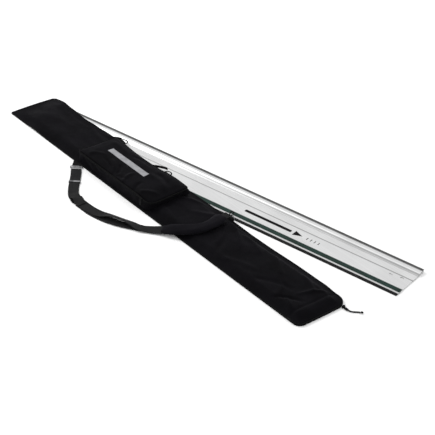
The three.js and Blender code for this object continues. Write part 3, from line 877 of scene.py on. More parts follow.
class PathRepeater:
    """Sets a small piece at even steps along a path with a Geometry Nodes tree."""

    def __init__(self, wardrobe: Wardrobe) -> None:
        """Keeps the wardrobe.

        Args:
            wardrobe: the finishes.
        """
        self.wardrobe = wardrobe

    def build_tree(self, slot: Slot) -> tuple[bpy.types.NodeTree, dict[str, str]]:
        """The tree: boxes along the curve, facing along it.

        Args:
            slot: the boxes' finish.

        Returns:
            The tree, and the identifiers of its inputs by name.
        """
        tree = bpy.data.node_groups.new("repeat_along_path", "GeometryNodeTree")
        face = tree.interface
        face.new_socket("Geometry", in_out="INPUT", socket_type="NodeSocketGeometry")
        size = face.new_socket("Size", in_out="INPUT", socket_type="NodeSocketVector")
        step = face.new_socket("Step", in_out="INPUT", socket_type="NodeSocketFloat")
        face.new_socket("Geometry", in_out="OUTPUT", socket_type="NodeSocketGeometry")
        nodes, links = tree.nodes, tree.links
        source = nodes.new("NodeGroupInput")
        result = nodes.new("NodeGroupOutput")
        to_curve = nodes.new("GeometryNodeMeshToCurve")
        sample = nodes.new("GeometryNodeResampleCurve")
        sample.mode = "LENGTH"
        box = nodes.new("GeometryNodeMeshCube")
        copies = nodes.new("GeometryNodeInstanceOnPoints")
        tangent = nodes.new("GeometryNodeInputTangent")
        align = nodes.new("FunctionNodeAlignRotationToVector")
        align.axis = "X"
        align.pivot_axis = "Z"
        realize = nodes.new("GeometryNodeRealizeInstances")
        finish = nodes.new("GeometryNodeSetMaterial")
        finish.inputs["Material"].default_value = self.wardrobe.get(slot)
        links.new(source.outputs["Geometry"], to_curve.inputs["Mesh"])
        links.new(to_curve.outputs["Curve"], sample.inputs["Curve"])
        links.new(source.outputs["Step"], sample.inputs["Length"])
        links.new(source.outputs["Size"], box.inputs["Size"])
        links.new(sample.outputs["Curve"], copies.inputs["Points"])
        links.new(box.outputs["Mesh"], copies.inputs["Instance"])
        links.new(tangent.outputs["Tangent"], align.inputs["Vector"])
        links.new(align.outputs["Rotation"], copies.inputs["Rotation"])
        links.new(copies.outputs["Instances"], realize.inputs["Geometry"])
        links.new(realize.outputs["Geometry"], finish.inputs["Geometry"])
        links.new(finish.outputs["Geometry"], result.inputs["Geometry"])
        return tree, {"size": size.identifier, "step": step.identifier}

    def repeat(self, name: str, path: Sequence[Vector], size: Point, step: float, slot: Slot
               ) -> bpy.types.Object:
        """Boxes at even steps along a path.

        Args:
            name: the piece's name.
            path: the path's points.
            size: each box's size along, across and up.
            step: the distance between boxes.
            slot: their finish.

        Returns:
            The piece, as a plain mesh.
        """
        mesh = bpy.data.meshes.new(name)
        mesh.from_pydata([tuple(p) for p in path], [(k, k + 1) for k in range(len(path) - 1)], [])
        obj = bpy.data.objects.new(name, mesh)
        bpy.context.scene.collection.objects.link(obj)
        tree, sockets = self.build_tree(slot)
        modifier = obj.modifiers.new("Repeat", "NODES")
        modifier.node_group = tree
        modifier[sockets["size"]] = size
        modifier[sockets["step"]] = step
        apply_modifiers(obj)
        return obj


# ---- The bag's shape --------------------------------------------------------------------------


@dataclass
class BagShape:
    """The bag's plan and its surfaces, in its own frame, in millimetres."""

    length: float = 1685.0
    width_right: float = 228.0
    width_left: float = 206.0
    top: float = 24.0
    rim: float = 4.0
    shoulder: float = 35.0
    far_shoulder: float = 85.0
    near_corner: float = 28.0
    far_corner: float = 44.0
    left_corner: float = 18.0
    end_swell: float = 1.2
    far_edge: tuple[tuple[float, float], ...] = (
        (-1700.0, 5.0), (-1640.0, 5.0), (-1560.0, -1.5), (-1460.0, -8.0), (-1380.0, -3.0),
        (-1290.0, 0.0), (-700.0, 2.0), (-420.0, 4.0), (-230.0, 9.0), (-120.0, 7.0), (-60.0, 1.0),
        (20.0, 0.0))
    flap: float = 60.0
    left_slope: float = 125.0
    edge_height: float = 6.3
    flap_edge: float = 9.2
    cloth: float = 2.5
    rail_corner: tuple[float, float] = (63.5, 393.4)
    rail_length: float = 1600.0
    rides: Route = ((5.9, 0.0, 15.0, 25.0), (13.0, 145.0, 30.0, 40.0))
    ride_lead: float = 25.0
    ride_stretch: float = 0.6
    origin: Vector = field(default_factory=Vector)

    def place(self, x: float, y: float, z: float) -> Vector:
        """A point of the bag's frame, in the row frame, in metres."""
        return self.origin + Vector((x, y, z)) * MM

    def width(self, x: float) -> float:
        """The bag's width at x, with the slack far edge's gentle curves."""
        curve = 0.0
        for (x0, y0), (x1, y1) in zip(self.far_edge, self.far_edge[1:]):
            if x0 <= x <= x1:
                curve = y0 + (y1 - y0) * smooth_step((x - x0) / (x1 - x0))
        return self.straight_width(x) + curve

    def straight_width(self, x: float) -> float:
        """The width that the bag was sewn to at x."""
        return self.width_right + (self.width_right - self.width_left) * x / self.length

    def underside(self, x: float, y: float) -> float:
        """How high the bag's underside stands over the rail or the floor."""
        dx, dy = x - self.rail_corner[0], y - self.rail_corner[1]
        along = dx * math.cos(RAIL_TURN) + dy * math.sin(RAIL_TURN)
        across = -dx * math.sin(RAIL_TURN) + dy * math.cos(RAIL_TURN)
        beyond = max(0.0, -self.rail_length - self.ride_lead - along) * self.ride_stretch
        levels = []
        for height, start, margin, ramp in self.rides:
            away = math.hypot(max(0.0, start - across), beyond)
            levels.append(height * min(max(1.0 - (away - margin) / ramp, 0.0), 1.0))
        return max(levels)

    def across(self, x: float, share: float) -> float:
        """The panels' y at x and a share of the way across."""
        return self.rim + share * (self.width(x) - 2 * self.rim)

    def ends(self, share: float) -> tuple[float, float]:
        """The panels' left and right ends at a share of the way across."""
        def setback(distance: float, radius: float) -> float:
            """How far a rounded corner stands back, at a distance from the side."""
            if distance >= radius:
                return 0.0
            return radius - math.sqrt(radius**2 - (radius - distance) ** 2)

        span = self.width_right - 2 * self.rim
        corner = self.near_corner if share < 0.5 else self.far_corner
        side = min(share, 1.0 - share) * span
        right = -self.rim - setback(side, corner - self.rim) + self.end_swell * math.sin(math.pi * share)
        left = -self.length + self.rim + setback((1.0 - share) * span, self.left_corner - self.rim)
        return left - 4.0 * math.sin(math.pi * min(1.0, share * 0.8 + 0.1)), right

    def edge_top(self, x: float, y: float) -> float:
        """The bound edge's height, which rises to the flap's over the last stretch."""
        rise = (self.flap_edge - self.edge_height) * smooth_step((x + 230.0) / 170.0)
        return self.underside(x, y) + self.edge_height + rise

    def surface(self, x: float, y: float) -> float:
        """The top cloth's height: a soft, slack form that falls to the bound edge."""
        edge = self.edge_top(x, y)
        near, far = y - self.rim, self.width(x) - y - self.rim
        inset = min(near, far)
        far_rise = 0.5 * far / self.far_shoulder + 0.5 * min(1.0, far / self.shoulder)
        side = min(smooth_step(near / self.shoulder * 0.85), smooth_step(far_rise))
        end = smooth_step((x + self.length - self.rim) / self.left_slope * 0.9)
        body = edge + (self.top - edge) * side * end
        if x > -self.flap:
            fall = smooth_step((-self.rim + self.end_swell - x) / (self.flap - self.rim) * 1.15)
            body = self.flap_edge + (body - self.flap_edge) * fall
            end *= fall
        return body + self.relief(x, y) * min(1.0, inset / 22.0) * min(1.0, 0.15 + end)

    def relief(self, x: float, y: float) -> float:
        """Wrinkles and sag of the slack cloth, in millimetres."""
        long_waves = noise.noise(Vector((x / 210.0, y / 130.0, 3.1))) * 3.4
        creases = noise.noise(Vector((x / 80.0 + y / 90.0, (y - x * 0.35) / 55.0, 8.2))) * 1.9
        fine = noise.noise(Vector((x / 24.0, y / 20.0, 5.7))) * 0.45
        middle = math.sin(math.pi * min(max(y / self.width_right, 0.0), 1.0))
        sag = -3.2 * math.exp(-((x + 380.0) / 170.0) ** 2) * middle
        seam = -2.6 * math.exp(-((x + self.flap) / 5.5) ** 2)
        return long_waves + creases + fine + sag + seam + sum(f.height_at(x, y) for f in BAG_FOLDS) - 1.2


@dataclass(frozen=True)
class Fold:
    """A ridge of creased cloth, or a valley where its height is below 0, in millimetres."""

    x0: float
    y0: float
    x1: float
    y1: float
    height: float
    width: float

    def height_at(self, x: float, y: float) -> float:
        """How far the fold lifts the cloth at a point."""
        dx, dy = self.x1 - self.x0, self.y1 - self.y0
        length = math.hypot(dx, dy)
        t = ((x - self.x0) * dx + (y - self.y0) * dy) / length**2
        if t < -0.2 or t > 1.2:
            return 0.0
        bow = 0.06 * length * math.sin(math.pi * min(max(t, 0.0), 1.0))
        away = ((y - self.y0) * dx - (x - self.x0) * dy) / length - bow
        fade = smooth_step((t + 0.2) / 0.35) * smooth_step((1.2 - t) / 0.5)
        return self.height * fade * math.exp(-(away / self.width) ** 2)


BAG_FOLDS = (
    Fold(-606.0, 216.0, -433.0, 118.0, 5.0, 9.0), Fold(-600.0, 205.0, -505.0, 70.0, 4.0, 10.0),
    Fold(-590.0, 200.0, -380.0, 165.0, 4.4, 10.0), Fold(-560.0, 150.0, -470.0, 40.0, -4.0, 11.0),
    Fold(-620.0, 215.0, -720.0, 120.0, 3.6, 12.0), Fold(-520.0, 190.0, -330.0, 200.0, -3.6, 10.0),
    Fold(-340.0, 195.0, -230.0, 115.0, 3.6, 12.0), Fold(-270.0, 55.0, -150.0, 112.0, -3.6, 11.0),
    Fold(-430.0, 36.0, -300.0, 84.0, 3.2, 13.0), Fold(-190.0, 196.0, -88.0, 150.0, 4.2, 9.0),
    Fold(-160.0, 34.0, -80.0, 92.0, -4.4, 8.0), Fold(-120.0, 112.0, -74.0, 204.0, 4.2, 8.0),
    Fold(-250.0, 150.0, -160.0, 60.0, 3.4, 10.0), Fold(-128.0, 60.0, -78.0, 30.0, 3.6, 8.0),
    Fold(-800.0, 150.0, -715.0, 205.0, 4.0, 10.0), Fold(-790.0, 60.0, -690.0, 26.0, 3.6, 12.0),
    Fold(-780.0, 110.0, -700.0, 100.0, -3.0, 12.0), Fold(-1640.0, 60.0, -1330.0, 128.0, 2.4, 24.0),
    Fold(-1610.0, 160.0, -1400.0, 96.0, -2.6, 18.0), Fold(-1260.0, 28.0, -1420.0, 74.0, 3.2, 13.0),
    Fold(-1262.0, 150.0, -1400.0, 186.0, 3.0, 12.0), Fold(-1255.0, 90.0, -1340.0, 110.0, -2.6, 11.0),
)
LID_FOLDS = (
    Fold(-1132.0, 52.0, -1013.0, 4.0, -2.6, 7.0), Fold(-1105.0, 66.0, -1040.0, 16.0, 2.2, 8.0),
    Fold(-1059.0, 68.0, -1020.0, 22.0, -2.4, 7.0), Fold(-1015.0, 20.0, -968.0, 26.0, -2.2, 7.0),
    Fold(-972.0, 8.0, -990.0, 76.0, 2.6, 8.0), Fold(-900.0, 10.0, -925.0, 60.0, -2.6, 8.0),
    Fold(-950.0, 120.0, -838.0, 104.0, 2.2, 12.0), Fold(-930.0, 150.0, -850.0, 130.0, -2.4, 10.0),
    Fold(-1200.0, 30.0, -1150.0, 70.0, 1.8, 10.0), Fold(-880.0, 20.0, -830.0, 70.0, 2.4, 10.0),
    Fold(-1210.0, 150.0, -1120.0, 140.0, 1.8, 12.0), Fold(-1080.0, 150.0, -990.0, 160.0, -2.0, 10.0),
)


# ---- Sub-assemblies ---------------------------------------------------------------------------


@dataclass
class GuideRail:
    """The rail keeps its own solids; it gets finishes and printed marks."""

    wardrobe: Wardrobe
    shape: BagShape
    finishes: dict[str, Slot] = field(default_factory=lambda: {
        "rail_extrusion": Slot.ALUMINIUM,
        "splinter_guard": Slot.RUBBER,
        "antislip_strip_front": Slot.RUBBER,
        "antislip_strip_rear": Slot.RUBBER,
        "glide_strip": Slot.GLIDE,
    })
    plate_top: float = 4.0
    clear: float = 0.02
    ink: float = 0.12
    stripe: tuple[float, float, float, float] = (-690.0, -486.0, 70.0, 84.0)
    arrow: tuple[float, float, float] = (-474.0, -438.0, 15.0)
    ticks: tuple[float, float, float, int] = (-418.0, 16.0, 3.0, 4)

    def place(self, s: float, u: float, z: float) -> Vector:
        """A point of the rail's frame: s along it from its right-hand end, u across it."""
        x = self.shape.rail_corner[0] + s * math.cos(RAIL_TURN) - u * math.sin(RAIL_TURN)
        y = self.shape.rail_corner[1] + s * math.sin(RAIL_TURN) + u * math.cos(RAIL_TURN)
        return self.shape.place(x, y, z)

    def build(self, nodes: dict[str, bpy.types.Object]) -> None:
        """Dresses the rail and adds its printed marks.

        Args:
            nodes: the frame's nodes by name.
        """
        for node, slot in self.finishes.items():
            self.wardrobe.dress(nodes[node], slot)
        self.wardrobe.dress(nodes["rear_edge_trim"], Slot.RUBBER, Shade.EDGE_TRIM)
        low = self.plate_top + self.clear
        high = low + self.ink
        s0, s1, u0, u1 = self.stripe
        tip, half = self.arrow[1], self.arrow[2]
        middle = (u0 + u1) / 2
        marks = {
            "rail_stripe": rounded_outline((s0, u0), (s1, u1), 4.0),
            "rail_arrow": [(self.arrow[0], middle - half), (tip, middle), (self.arrow[0], middle + half)],
        }
        first, step, thick, count = self.ticks
        for k in range(count):
            s = first + k * step
            marks[f"rail_tick_{k + 1}"] = [(s, u0), (s + thick, u0), (s + thick, u1), (s, u1)]
        for name, outline in marks.items():
            mark = self.wardrobe.dress(prism(name, outline, (low, high), self.place), Slot.PLASTIC)
            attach(mark, "rail")
            log.info("%s on the rail", name)


@dataclass
class BagBody:
    """The bag's cloth: one continuous top over the crease, its underside and its bound edges."""

    wardrobe: Wardrobe
    shape: BagShape
    repeater: PathRepeater
    columns: int = 420
    rows: int = 58
    crease_reach: float = 26.0
    crease_gap: float = 0.4
    edge_steps: int = 210
    tape_width: float = 3.3

    def stations(self, share: float, count: int) -> list[float]:
        """Stations along the bag at a share across it."""
        left, right = self.shape.ends(share)
        return [left + (right - left) * i / count for i in range(count + 1)]

    def shares(self) -> list[float]:
        """Shares across the bag, closer together towards its edges."""
        return [0.5 - 0.5 * math.cos(math.pi * j / self.rows) for j in range(self.rows + 1)]

    def grid(self, count: int, height: Callable[[float, float], float]) -> list[list[Vector]]:
        """Points over the bag's plan.

        Args:
            count: the steps along the bag.
            height: gives the height at a point, in millimetres.

        Returns:
            The points, column by column.
        """
        shares = self.shares()
        rows = [self.stations(share, count) for share in shares]
        columns = []
        for i in range(count + 1):
            plan = [(row[i], self.shape.across(row[i], share)) for row, share in zip(rows, shares)]
            columns.append([self.shape.place(x, y, height(x, y)) for x, y in plan])
        return columns

    def top(self) -> bpy.types.Object:
        """The top cloth, from the closed end over the crease to the zip."""
        shape = self.shape
        columns = self.grid(self.columns, shape.surface)
        cloth = self.wardrobe.dress(cloth_shell("bag_top_cloth", columns, shape.cloth * MM), Slot.NYLON)
        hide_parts("bag_top_panel", "bag_top_panel_slope", "near_gusset", "near_gusset_slope",
                    "far_gusset", "far_gusset_slope", "left_end_gusset", "end_flap")
        start, end = (shape.place(-shape.flap + reach, shape.width_right / 2, shape.top)
                      for reach in (-self.crease_reach, self.crease_reach))
        tuple(start)
        tuple(end)
        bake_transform(cloth)
        return cloth

    def bottom(self) -> bpy.types.Object:
        """The underside's cloth, which rides over the rail."""
        shape = self.shape
        columns = self.grid(self.columns // 2, lambda x, y: shape.underside(x, y) + shape.cloth)
        cloth = self.wardrobe.dress(cloth_shell("bag_bottom_cloth", columns, shape.cloth * MM), Slot.NYLON)
        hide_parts("bag_bottom_right", "bag_bottom_middle", "bag_bottom_raised", "bag_bottom_left")
        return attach(cloth, "bag")

    def outline(self, part: str) -> list[Vector]:
        """The middle line of the bound edge, on one of its stretches.

        Args:
            part: "edges" is from the crease's near end round the closed end to its far end, and
                "zip" is round the zipped end.

        Returns:
            The line's points at half the edge's height.
        """
        shape = self.shape
        half = shape.rim / 2 + 0.15
        if part == "zip":
            right = [(shape.ends(v)[1], shape.across(shape.ends(v)[1], v)) for v in self.shares()]
            near, far = ((-shape.flap + self.crease_gap, shape.across(-shape.flap, v)) for v in (0.0, 1.0))
            plan = [near, *right, far]
        else:
            step = (shape.length - shape.flap - shape.rim) / self.edge_steps
            xs = [-shape.flap - self.crease_gap - k * step for k in range(self.edge_steps + 1)]
            left = [(shape.ends(v)[0], shape.across(shape.ends(v)[0], v)) for v in self.shares()]
            plan = [*[(x, shape.across(x, 0.0)) for x in xs[:-1]], *left,
                    *[(x, shape.across(x, 1.0)) for x in reversed(xs[:-3])]]
        flat = [Vector((x, y, 0.0)) for x, y in plan]
        outward = 1.0 if part == "zip" else -1.0
        return [at - side * half * outward for at, side in zip(flat, flat_sides(flat))]

    def bound_edge(self, name: str, part: str, low: Callable[[float, float], float],
                   high: Callable[[float, float], float], slot: Slot) -> bpy.types.Object:
        """A folded tape over the edge.

        Args:
            name: the piece's name.
            part: the stretch of the edge, as outline takes it.
            low: the tape's lower height at a point, in millimetres.
            high: its upper height at a point, in millimetres.
            slot: its finish.

        Returns:
            The piece.
        """
        line = self.outline(part)
        path = [self.shape.place(p.x, p.y, (low(p.x, p.y) + high(p.x, p.y)) / 2) for p in line]
        heights = [(high(p.x, p.y) - low(p.x, p.y)) * MM for p in line]
        width = self.tape_width * MM
        tape = sweep(name, path, flat_sides(path), lambda i: bar_section(width, heights[i], 12, 3.2))
        return self.wardrobe.dress(tape, slot)

    def build(self) -> None:
        """Builds the cloth, the bindings, the zip and the edge's stitches."""
        shape = self.shape
        self.top()
        self.bottom()
        edge = self.bound_edge("edge_binding", "edges", shape.underside,
                               lambda x, y: shape.edge_top(x, y) + 0.4, Slot.BINDING)
        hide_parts("near_edge_binding", "left_end_binding", "far_edge_binding")
        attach(edge, "bag")
        tape = self.bound_edge("zip_tape_lower", "zip", lambda x, y: 0.1, lambda x, y: 4.3, Slot.ZIP)
        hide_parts("main_zip_tape")
        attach(tape, "bag")
        upper = self.bound_edge("flap_binding", "zip", lambda x, y: 5.6,
                                lambda x, y: shape.flap_edge + 0.4, Slot.BINDING)
        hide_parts("end_flap_binding")
        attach(upper, "end_flap")
        teeth_line = [shape.place(p.x, p.y, 4.75) for p in self.outline("zip")]
        teeth = self.repeater.repeat("main_zip_teeth", teeth_line, (1.0 * MM, 3.0 * MM, 0.9 * MM),
                                     1.9 * MM, Slot.PLASTIC)
        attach(teeth, "bag")
        stitch_line = [shape.place(p.x, p.y, shape.edge_top(p.x, p.y) + 0.45)
                       for p in self.outline("edges")]
        stitches = self.repeater.repeat("edge_stitches", stitch_line, (2.2 * MM, 0.5 * MM, 0.35 * MM),
                                        3.6 * MM, Slot.BINDING)
        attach(stitches, "bag")
        log.info("bag body built")


@dataclass
class Pocket:
    """The raised pocket: slumping walls, its zip, and a padded lid with a plain reflective bar."""

    wardrobe: Wardrobe
    shape: BagShape
    repeater: PathRepeater
    low: tuple[float, float] = (-1242.0, 6.0)
    high: tuple[float, float] = (-805.0, 190.0)
    corners: tuple[float, float, float, float] = (34.0, 16.0, 14.0, 12.0)
    wall: float = 2.5
    gusset_top: float = 45.4
    zip_level: float = 46.6
    teeth_level: float = 48.2
    lid_low: float = 48.9
    lid_high: float = 54.9
    slump: float = 8.5
    far_bow: float = 13.0
    bar: tuple[float, float, float, float] = (-1170.0, 92.0, -950.0, 118.0)

    def outline(self, inset: float = 0.0) -> list[tuple[float, float]]:
        """The pocket's plan outline, anticlockwise, drawn in by an inset.

        Args:
            inset: how far it is drawn in; below 0 it grows.

        Returns:
            Its points, at most 7 mm apart.
        """
        (x0, y0), (x1, y1) = self.low, self.high
        near_right, far_right, far_left, near_left = (max(r - inset, 2.0) for r in self.corners)
        centres = [(x1 - inset - near_right, y0 + inset + near_right, near_right),
                   (x1 - inset - far_right, y1 - inset - far_right, far_right),
                   (x0 + inset + far_left, y1 - inset - far_left, far_left),
                   (x0 + inset + near_left, y0 + inset + near_left, near_left)]
        points = []
        for quarter, (cx, cy, radius) in enumerate(centres):
            for k in range(9):
                a = math.pi / 2 * (quarter - 1 + k / 8)
                points.append((cx + radius * math.cos(a), cy + radius * math.sin(a)))
        return [self.bowed(x, y) for x, y in spread(points, 7.0)]

    def bowed(self, x: float, y: float) -> tuple[float, float]:
        """Draws the far side in where the pocket is slack."""
        along = min(max((x - self.low[0]) / (self.high[0] - self.low[0]), 0.0), 1.0)
        across = min(max((y - self.low[1]) / (self.high[1] - self.low[1]), 0.0), 1.0)
        bow = self.far_bow * math.sin(math.pi * min(1.0, along * 1.25)) * across**3
        return x, y - bow

    def drop(self, x: float, y: float) -> float:
        """How far the lid has slumped at a point: most at its near right-hand corner."""
        along = smooth_step((x - self.high[0] + 72.0) / 80.0)
        across = 1.0 - 0.75 * smooth_step((y - self.low[1]) / 190.0)
        left = 3.0 * smooth_step((y - 110.0) / 80.0) * smooth_step((self.high[0] - 60.0 - x) / 120.0)
        return self.slump * along * across + left

    def lowered(self, x: float, y: float, z: float) -> float:
        """A height on the pocket once it has slumped."""
        foot = self.foot(x, y)
        return z - self.drop(x, y) * min(max((z - foot) / (self.lid_high - foot), 0.0), 1.2)

    def place(self, x: float, y: float, z: float) -> Vector:
        """A point of the pocket once it has slumped, in the row frame."""
        return self.shape.place(x, y, self.lowered(x, y, z))

    def foot(self, x: float, y: float) -> float:
        """Where the wall stands on the top cloth."""
        return self.shape.surface(x, y) + 0.4

    def wall_piece(self) -> bpy.types.Object:
        """The gusset wall: it bulges and buckles between its foot and the zip."""
        plan = self.outline(self.wall / 2)
        levels = 12
        points, faces, texture = [], [], []
        n = len(plan)
        middle = Vector(((self.low[0] + self.high[0]) / 2, (self.low[1] + self.high[1]) / 2))
        ear = Vector(self.high)
        for offset in (0.6, -0.6):
            for k in range(levels + 1):
                t = k / levels
                for i, (x, y) in enumerate(plan):
                    before, after = Vector(plan[i - 1]), Vector(plan[(i + 1) % n])
                    along = (after - before).normalized()
                    outward = Vector((along.y, -along.x))
                    buckle = noise.noise(Vector((x / 42.0, y / 42.0, t * 1.6))) * 3.2
                    fold = noise.noise(Vector((x / 17.0, y / 17.0, t * 3.0 + 7.0))) * 0.9
                    corner = 13.0 * math.exp(-((Vector((x, y)) - ear).length / 24.0) ** 2)
                    swell_out = math.sin(math.pi * t) * (buckle + fold + corner - 1.2)
                    at = Vector((x, y)) + outward * (swell_out + offset)
                    foot = self.foot(x, y)
                    points.append(self.place(at.x, at.y, foot + (self.gusset_top - foot) * t))
                    texture.append((i * 7.0 * MM, t * 30.0 * MM))
        half = n * (levels + 1)
        for k in range(levels):
            for i in range(n):
                m = (i + 1) % n
                a, b = k * n, (k + 1) * n
                faces.append((a + i, a + m, b + m, b + i))
                faces.append((half + a + i, half + b + i, half + b + m, half + a + m))
        top = levels * n
        for i in range(n):
            m = (i + 1) % n
            faces.append((i, half + i, half + m, m))
            faces.append((top + i, top + m, half + top + m, half + top + i))
        wall = face_outwards(mesh_object("pocket_wall", points, faces, texture))
        self.wardrobe.dress(wall, Slot.NYLON)
        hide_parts("pocket_gusset")
        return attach(wall, "bag")

    def zip_pieces(self) -> None:
        """The zip tape, its teeth and the bound seams beside it."""
        bands = {
            "pocket_zip_band": (1.4, self.zip_level, 2.2, 2.2, Slot.ZIP, "bag"),
            "pocket_wall_seam": (1.5, self.gusset_top - 1.6, 2.4, 1.8, Slot.BINDING, "bag"),
        }
        for name, (inset, level, width, height, slot, body) in bands.items():
            path = [self.place(x, y, level) for x, y in self.outline(inset)]
            band = sweep(name, path, flat_sides(path, True),
                         lambda i: bar_section(width * MM, height * MM, 10, 4.0), closed=True)
            self.wardrobe.dress(band, slot)
            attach(band, body)
            if slot is Slot.ZIP:
                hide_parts("pocket_zip_tape")
        line = [self.place(x, y, self.teeth_level) for x, y in self.outline(0.8)]
        teeth = self.repeater.repeat("pocket_zip_teeth", line, (0.9 * MM, 2.0 * MM, 0.8 * MM),
                                     1.8 * MM, Slot.PLASTIC)
        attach(teeth, "bag")

    def lid_piece(self) -> bpy.types.Object:
        """The padded lid, blown up a little by simulation, slumped and creased by use."""
        flat = [self.shape.place(x, y, 0.0).xy for x, y in self.outline(0.6)]
        lid = soft_block("pocket_lid_pad", flat, lambda p: (self.lid_low + 0.5) * MM,
                         lambda p: (self.lid_high - 0.4) * MM, 16)
        swell(lid, 3.6 * MM, 4.0, 2.4 * MM)
        origin = self.shape.origin
        for vertex in lid.data.vertices:
            x, y, z = ((vertex.co - origin) / MM).to_tuple()
            upper = smooth_step((z - self.lid_low - 0.6) / 3.0)
            creases = 1.5 * sum(f.height_at(x, y) for f in LID_FOLDS)
            waves = noise.noise(Vector((x / 110.0, y / 80.0, 9.4))) * 2.0
            fine = noise.noise(Vector((x / 26.0 + y / 60.0, y / 40.0, 2.2))) * 0.7
            inset = min(x - self.low[0], self.high[0] - x, y - self.low[1], self.high[1] - y)
            crown = 3.4 * smooth_step(inset / 46.0) - 1.6
            z += upper * (creases + waves * min(1.0, inset / 20.0) + fine + crown)
            vertex.co = self.place(x, y, z)
        lid.data.update()
        self.wardrobe.dress(lid, Slot.NYLON)
        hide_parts("pocket_lid")
        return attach(lid, "pocket_lid")

    def bar_piece(self, lid: bpy.types.Object) -> bpy.types.Object:
        """The plain reflective bar, printed so that it follows the lid.

        Args:
            lid: the lid it lies on.

        Returns:
            The bar.
        """
        x0, y0, x1, y1 = self.bar
        columns = []
        for i in range(89):
            x = x0 + (x1 - x0) * i / 88
            column = []
            for j in range(15):
                y = y0 + (y1 - y0) * j / 14
                above = self.shape.place(x, y, 90.0)
                hit, where, _, _ = lid.ray_cast(above, Vector((0.0, 0.0, -1.0)))
                height = where.z if hit else self.lid_high * MM
                column.append(Vector((above.x, above.y, height + 0.35 * MM)))
            columns.append(column)
        bar = self.wardrobe.dress(cloth_shell("lid_reflective_bar", columns, 0.3 * MM), Slot.PRINT)
        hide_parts("reflective_bar")
        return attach(bar, "pocket_lid")

    def piping(self) -> None:
        """Piping round the lid's edge."""
        path = [self.place(x, y, self.lid_low + 1.6) for x, y in self.outline(0.2)]
        cord = sweep("lid_piping", path, flat_sides(path, True),
                     lambda i: bar_section(3.4 * MM, 3.2 * MM, 10, 2.0), closed=True)
        self.wardrobe.dress(cord, Slot.BINDING)
        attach(cord, "pocket_lid")

    def build(self) -> None:
        """Builds the pocket."""
        self.wall_piece()
        self.zip_pieces()
        lid = self.lid_piece()
        bpy.context.view_layer.update()
        self.bar_piece(lid)
        self.piping()
        log.info("pocket built")


def swell(obj: bpy.types.Object, voxel: float, pressure: float, cap: float) -> None:
    """Blows a padded form up with cloth simulation, and keeps its result.

    Args:
        obj: the closed form.
        voxel: the remesh size, in metres.
        pressure: the simulation's pressure.
        cap: how far a point may move, in metres.
    """
    remesh = obj.modifiers.new("Remesh", "REMESH")
    remesh.mode = "VOXEL"
    remesh.voxel_size = voxel
    apply_modifiers(obj)
    start = [v.co.copy() for v in obj.data.vertices]
    cloth = obj.modifiers.new("Cloth", "CLOTH")
    cloth.settings.use_pressure = True
    cloth.settings.uniform_pressure_force = pressure
    cloth.settings.effector_weights.gravity = 0.0
    cloth.settings.quality = 5
    scene = bpy.context.scene
    last = 20
    for frame in range(1, last + 1):
        scene.frame_set(frame)
    apply_modifiers(obj)
    scene.frame_set(1)
    for vertex, before in zip(obj.data.vertices, start):
        move = vertex.co - before
        if move.length > cap:
            vertex.co = before + move.normalized() * cap
    finer = obj.modifiers.new("Subdivision", "SUBSURF")
    finer.levels = 1
    finer.render_levels = 1
    apply_modifiers(obj)
    obj.data.polygons.foreach_set("use_smooth", [True] * len(obj.data.polygons))


